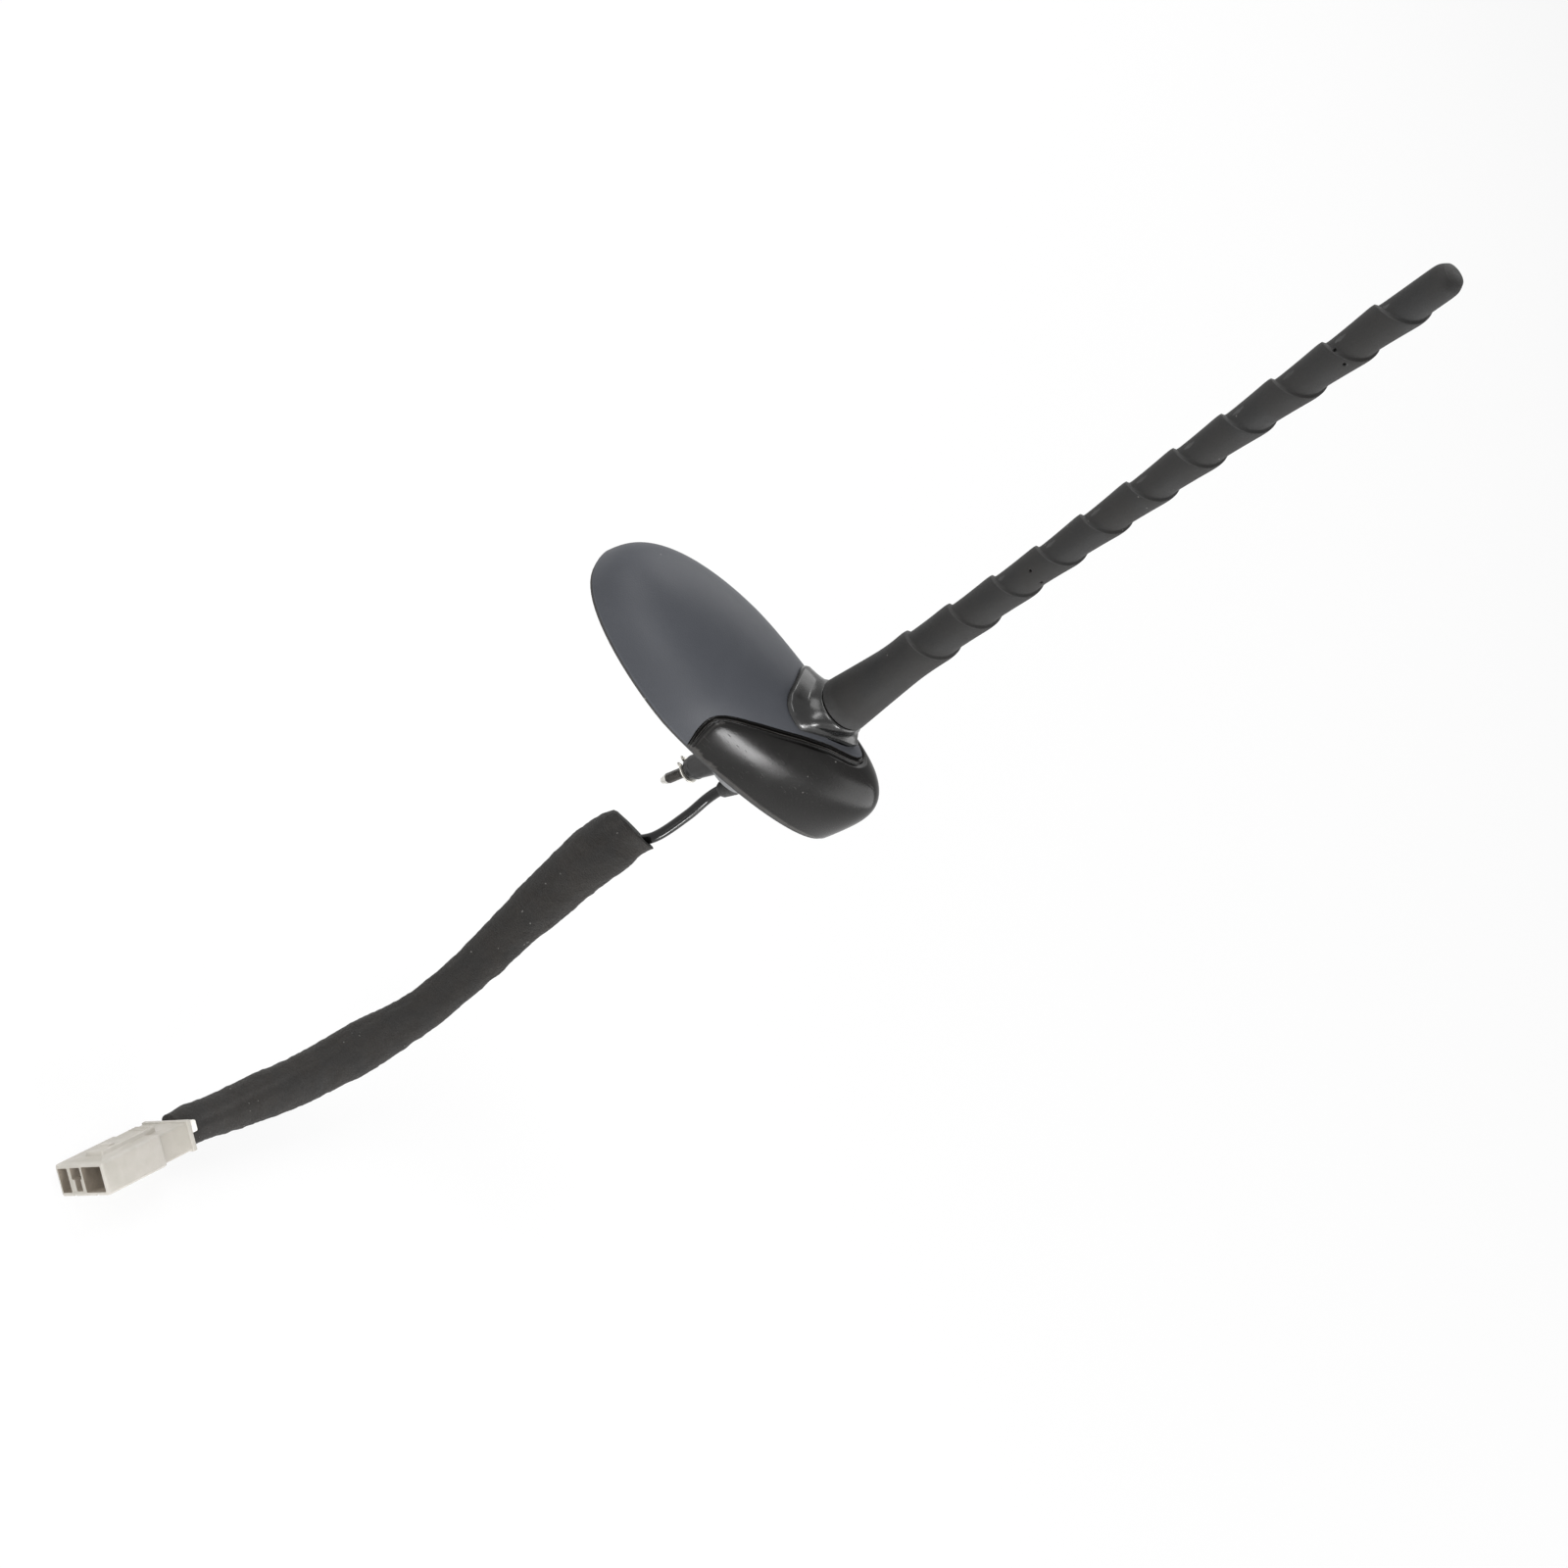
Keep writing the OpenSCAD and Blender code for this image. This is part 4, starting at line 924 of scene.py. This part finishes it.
dress(coax, finish_of("coax jacket vinyl", (12, 12, 12), (17, 17, 17), rough=(0.14, 0.22), surface_scale=900,
                      depth=0.00001, mottle=120, dust=0.02, hairlines=0.05, Specular_IOR_Level=0.35))
dress(plug, finish_of("plug nylon", (168, 163, 155), (160, 156, 147), rough=(0.42, 0.52),
                      surface_scale=2400, depth=0.00004, mottle=90, dust=0.02, wear_and_highlight=0.15, hairlines=0.08))
# The second finish is a darker nylon for the slot walls: painted shade of the deep slots, not a different
# plastic.
plug.data.materials.append(finish_of("plug nylon with painted shade in the slots", (122, 113, 101), (136, 127, 115),
                                     rough=(0.6, 0.7), mottle=200, dust=0.0))
# The slots' walls take the darker tone as painted shade, from a little behind the plug's face
slot_rim = 0.4
choose(plug, lambda centre, normal: any(
    low[0] - 0.1 < centre.x < plug_face - slot_rim and low[1] - 0.05 < centre.y < high[1] + 0.05
    and low[2] - 0.05 < centre.z < high[2] + 0.05 for low, high in slots))
plug.active_material_index = 1
bpy.ops.object.material_slot_assign()
close_up()
set_in_place(plug, plug_frame)
fit_out(plug, "base", "plug_housing")
dress(retainer, finish_of("retainer nylon", (236, 234, 228), (228, 225, 218), rough=(0.36, 0.46), dust=0.0))
dress(terminals, finish_of("tinned contact", (196, 186, 160), (178, 164, 132), rough=(0.24, 0.36), dust=0.0,
                           mottle=300, hairlines=0.15, Metallic=1.0))
dress(tower, finish_of("tower nylon", (27, 27, 27), (34, 33, 33), rough=(0.34, 0.46), surface_scale=1600,
                       depth=0.00005, dust=0.03, wear_and_highlight=0.6))
dress(clip, finish_of("clip spring steel", (205, 202, 194), (184, 181, 174), rough=(0.26, 0.4),
                      surface_scale=1500, depth=0.00004, mottle=260, dust=0.0, hairlines=0.2, Metallic=0.9))
dress(bolt, finish_of("dark plated bolt", (50, 48, 46), (66, 63, 60), rough=(0.3, 0.45), surface_scale=1500,
                      depth=0.00004, mottle=260, dust=0.0, wear_and_highlight=0.8, pale_below=-0.0298, Metallic=0.4))
dress(grommet, finish_of("grommet rubber", (24, 24, 24), (31, 31, 30), rough=(0.55, 0.7), depth=0.00006,
                         dust=0.04, wear_and_highlight=0.3))
dress(plate, finish_of("plate casting", (118, 119, 121), (134, 134, 135), rough=(0.42, 0.58),
                       surface_scale=1200, depth=0.00014, mottle=110, dust=0.02, wear_and_highlight=0.4, Metallic=0.85))
for node, finish in (
    ("plate_screws", finish_of("zinc screw", (198, 198, 192), (178, 180, 176), rough=(0.26, 0.4), dust=0.0,
                               mottle=240, hairlines=0.2, Metallic=1.0)),
    ("screw_posts", finish_of("post nylon", (52, 53, 56), (60, 61, 63), rough=(0.45, 0.55), dust=0.0)),
    ("circuit_board", finish_of("board resist", (22, 82, 47), (30, 96, 56), rough=(0.25, 0.36), dust=0.03,
                                mottle=500, surface_scale=600, Coat_Weight=0.3)),
    ("board_screws", finish_of("nickel screw", (206, 202, 190), (186, 182, 170), rough=(0.22, 0.34), dust=0.0,
                               mottle=300, hairlines=0.2, Metallic=1.0)),
    ("shield_can", finish_of("tin plate", (208, 209, 208), (188, 190, 190), rough=(0.2, 0.42), dust=0.02,
                             mottle=180, hairlines=0.25, Metallic=1.0)),
    ("contact_spring", finish_of("spring bronze", (196, 150, 86), (176, 130, 70), rough=(0.24, 0.36),
                                 dust=0.0, mottle=260, hairlines=0.2, Metallic=1.0)),
    ("mast_socket", finish_of("turned brass", (208, 174, 100), (190, 156, 86), rough=(0.2, 0.3), dust=0.0,
                              surface=TURNING, depth=0.00002, Metallic=1.0)),
    ("socket_insulator", finish_of("natural nylon", (224, 219, 205), (214, 208, 194), rough=(0.38, 0.5),
                                   dust=0.0)),
    ("mast_core", finish_of("glass fibre rod", (216, 210, 184), (204, 196, 168), rough=(0.28, 0.4), dust=0.0,
                            mottle=400)),
    ("mast_winding", finish_of("enamelled copper", (186, 106, 60), (164, 88, 48), rough=(0.24, 0.34),
                               dust=0.0, surface=TURNING, surface_scale=700, depth=0.00012,
                               Metallic=1.0)),
    ("mast_ferrule", finish_of("plated ferrule", (200, 201, 202), (184, 186, 188), rough=(0.18, 0.3),
                               dust=0.0, surface=TURNING, surface_scale=1400, depth=0.00002,
                               Metallic=1.0)),
):
    dress_node(node, finish)


# Floor, backdrop and lamps

floor_level = cad_low.z - 0.0005
floor_width = 6
floor_tone = 0.86
# Share of plain white in what the camera, metal and glass see of the floor
floor_white = 0.86
world_light = 0.2


def seen_directly(tree, dim, bright):
    """Value that is bright for what the camera, metal and glass see, and dim for what lights the part."""
    rays = make(tree, "LightPath")
    either = sums(tree, "MAXIMUM", rays.outputs["Is Camera Ray"], rays.outputs["Is Transmission Ray"])
    seen = sums(tree, "MAXIMUM", either, rays.outputs["Is Glossy Ray"])
    level = make(tree, "MapRange", [("Value", seen), ("To Min", dim), ("To Max", bright)])
    return level.outputs["Result"]


def white_stage():
    """A pale floor that shows white and keeps the object's shadow."""
    finish = bpy.data.materials.new("pale floor")
    finish.use_nodes = True
    tree = finish.node_tree
    shader = tree.nodes["Principled BSDF"]
    shader.inputs["Base Color"].default_value = (floor_tone, floor_tone, floor_tone, 1)
    shader.inputs["Roughness"].default_value = 0.9
    plain = make(tree, "Emission", [("Color", (1, 1, 1, 1)), ("Strength", 1.0)])
    share = seen_directly(tree, 0.0, floor_white)
    mix = make(tree, "MixShader", [(0, share), (1, shader.outputs[0]), (2, plain.outputs[0])])
    tree.links.new(mix.outputs[0], tree.nodes["Material Output"].inputs["Surface"])
    return finish


put_down()
bpy.ops.mesh.primitive_plane_add(size=floor_width, location=(0, 0, floor_level))
floor = named(bpy.context.object, "studio_floor")
set_in_place(floor)
dress(floor, white_stage())

world = bpy.data.worlds.new("studio")
scene.world = world
world.use_nodes = True
backdrop = world.node_tree.nodes["Background"]
backdrop.inputs["Color"].default_value = (1, 1, 1, 1)
world.node_tree.links.new(seen_directly(world.node_tree, world_light, 1.0), backdrop.inputs["Strength"])


def softbox(name, way, distance, wide, tall, watts):
    """A rectangular softbox in a direction from the base, aimed at it. Lengths are in metres."""
    data = bpy.data.lights.new(name, "AREA")
    data.shape = "RECTANGLE"
    data.size = wide
    data.size_y = tall
    data.energy = watts
    lamp = bpy.data.objects.new(name, data)
    scene.collection.objects.link(lamp)
    way = Vector(way).normalized()
    lamp.location = way * distance
    lamp.rotation_euler = (-way).to_track_quat("-Z", "Y").to_euler()
    return lamp


softbox("key softbox", (-0.86, -0.36, 0.42), distance=1.1, wide=0.9, tall=0.5, watts=6)
softbox("far rim softbox", (-0.3, 0.85, 0.65), distance=1.1, wide=1.3, tall=0.8, watts=8)
softbox("overhead softbox", (-0.45, 0.3, 0.8), distance=1.1, wide=0.4, tall=0.4, watts=4)
softbox("nose softbox", (0.54, -0.83, -0.08), distance=0.5, wide=0.12, tall=0.12, watts=1.4)
softbox("boss strip softbox", (-0.35, -0.9, 0.2), distance=0.5, wide=0.24, tall=0.1, watts=0.8)
softbox("end softbox", (0.95, -0.25, 0.16), distance=1.1, wide=0.9, tall=0.9, watts=9)

scene.view_settings.view_transform = "Standard"
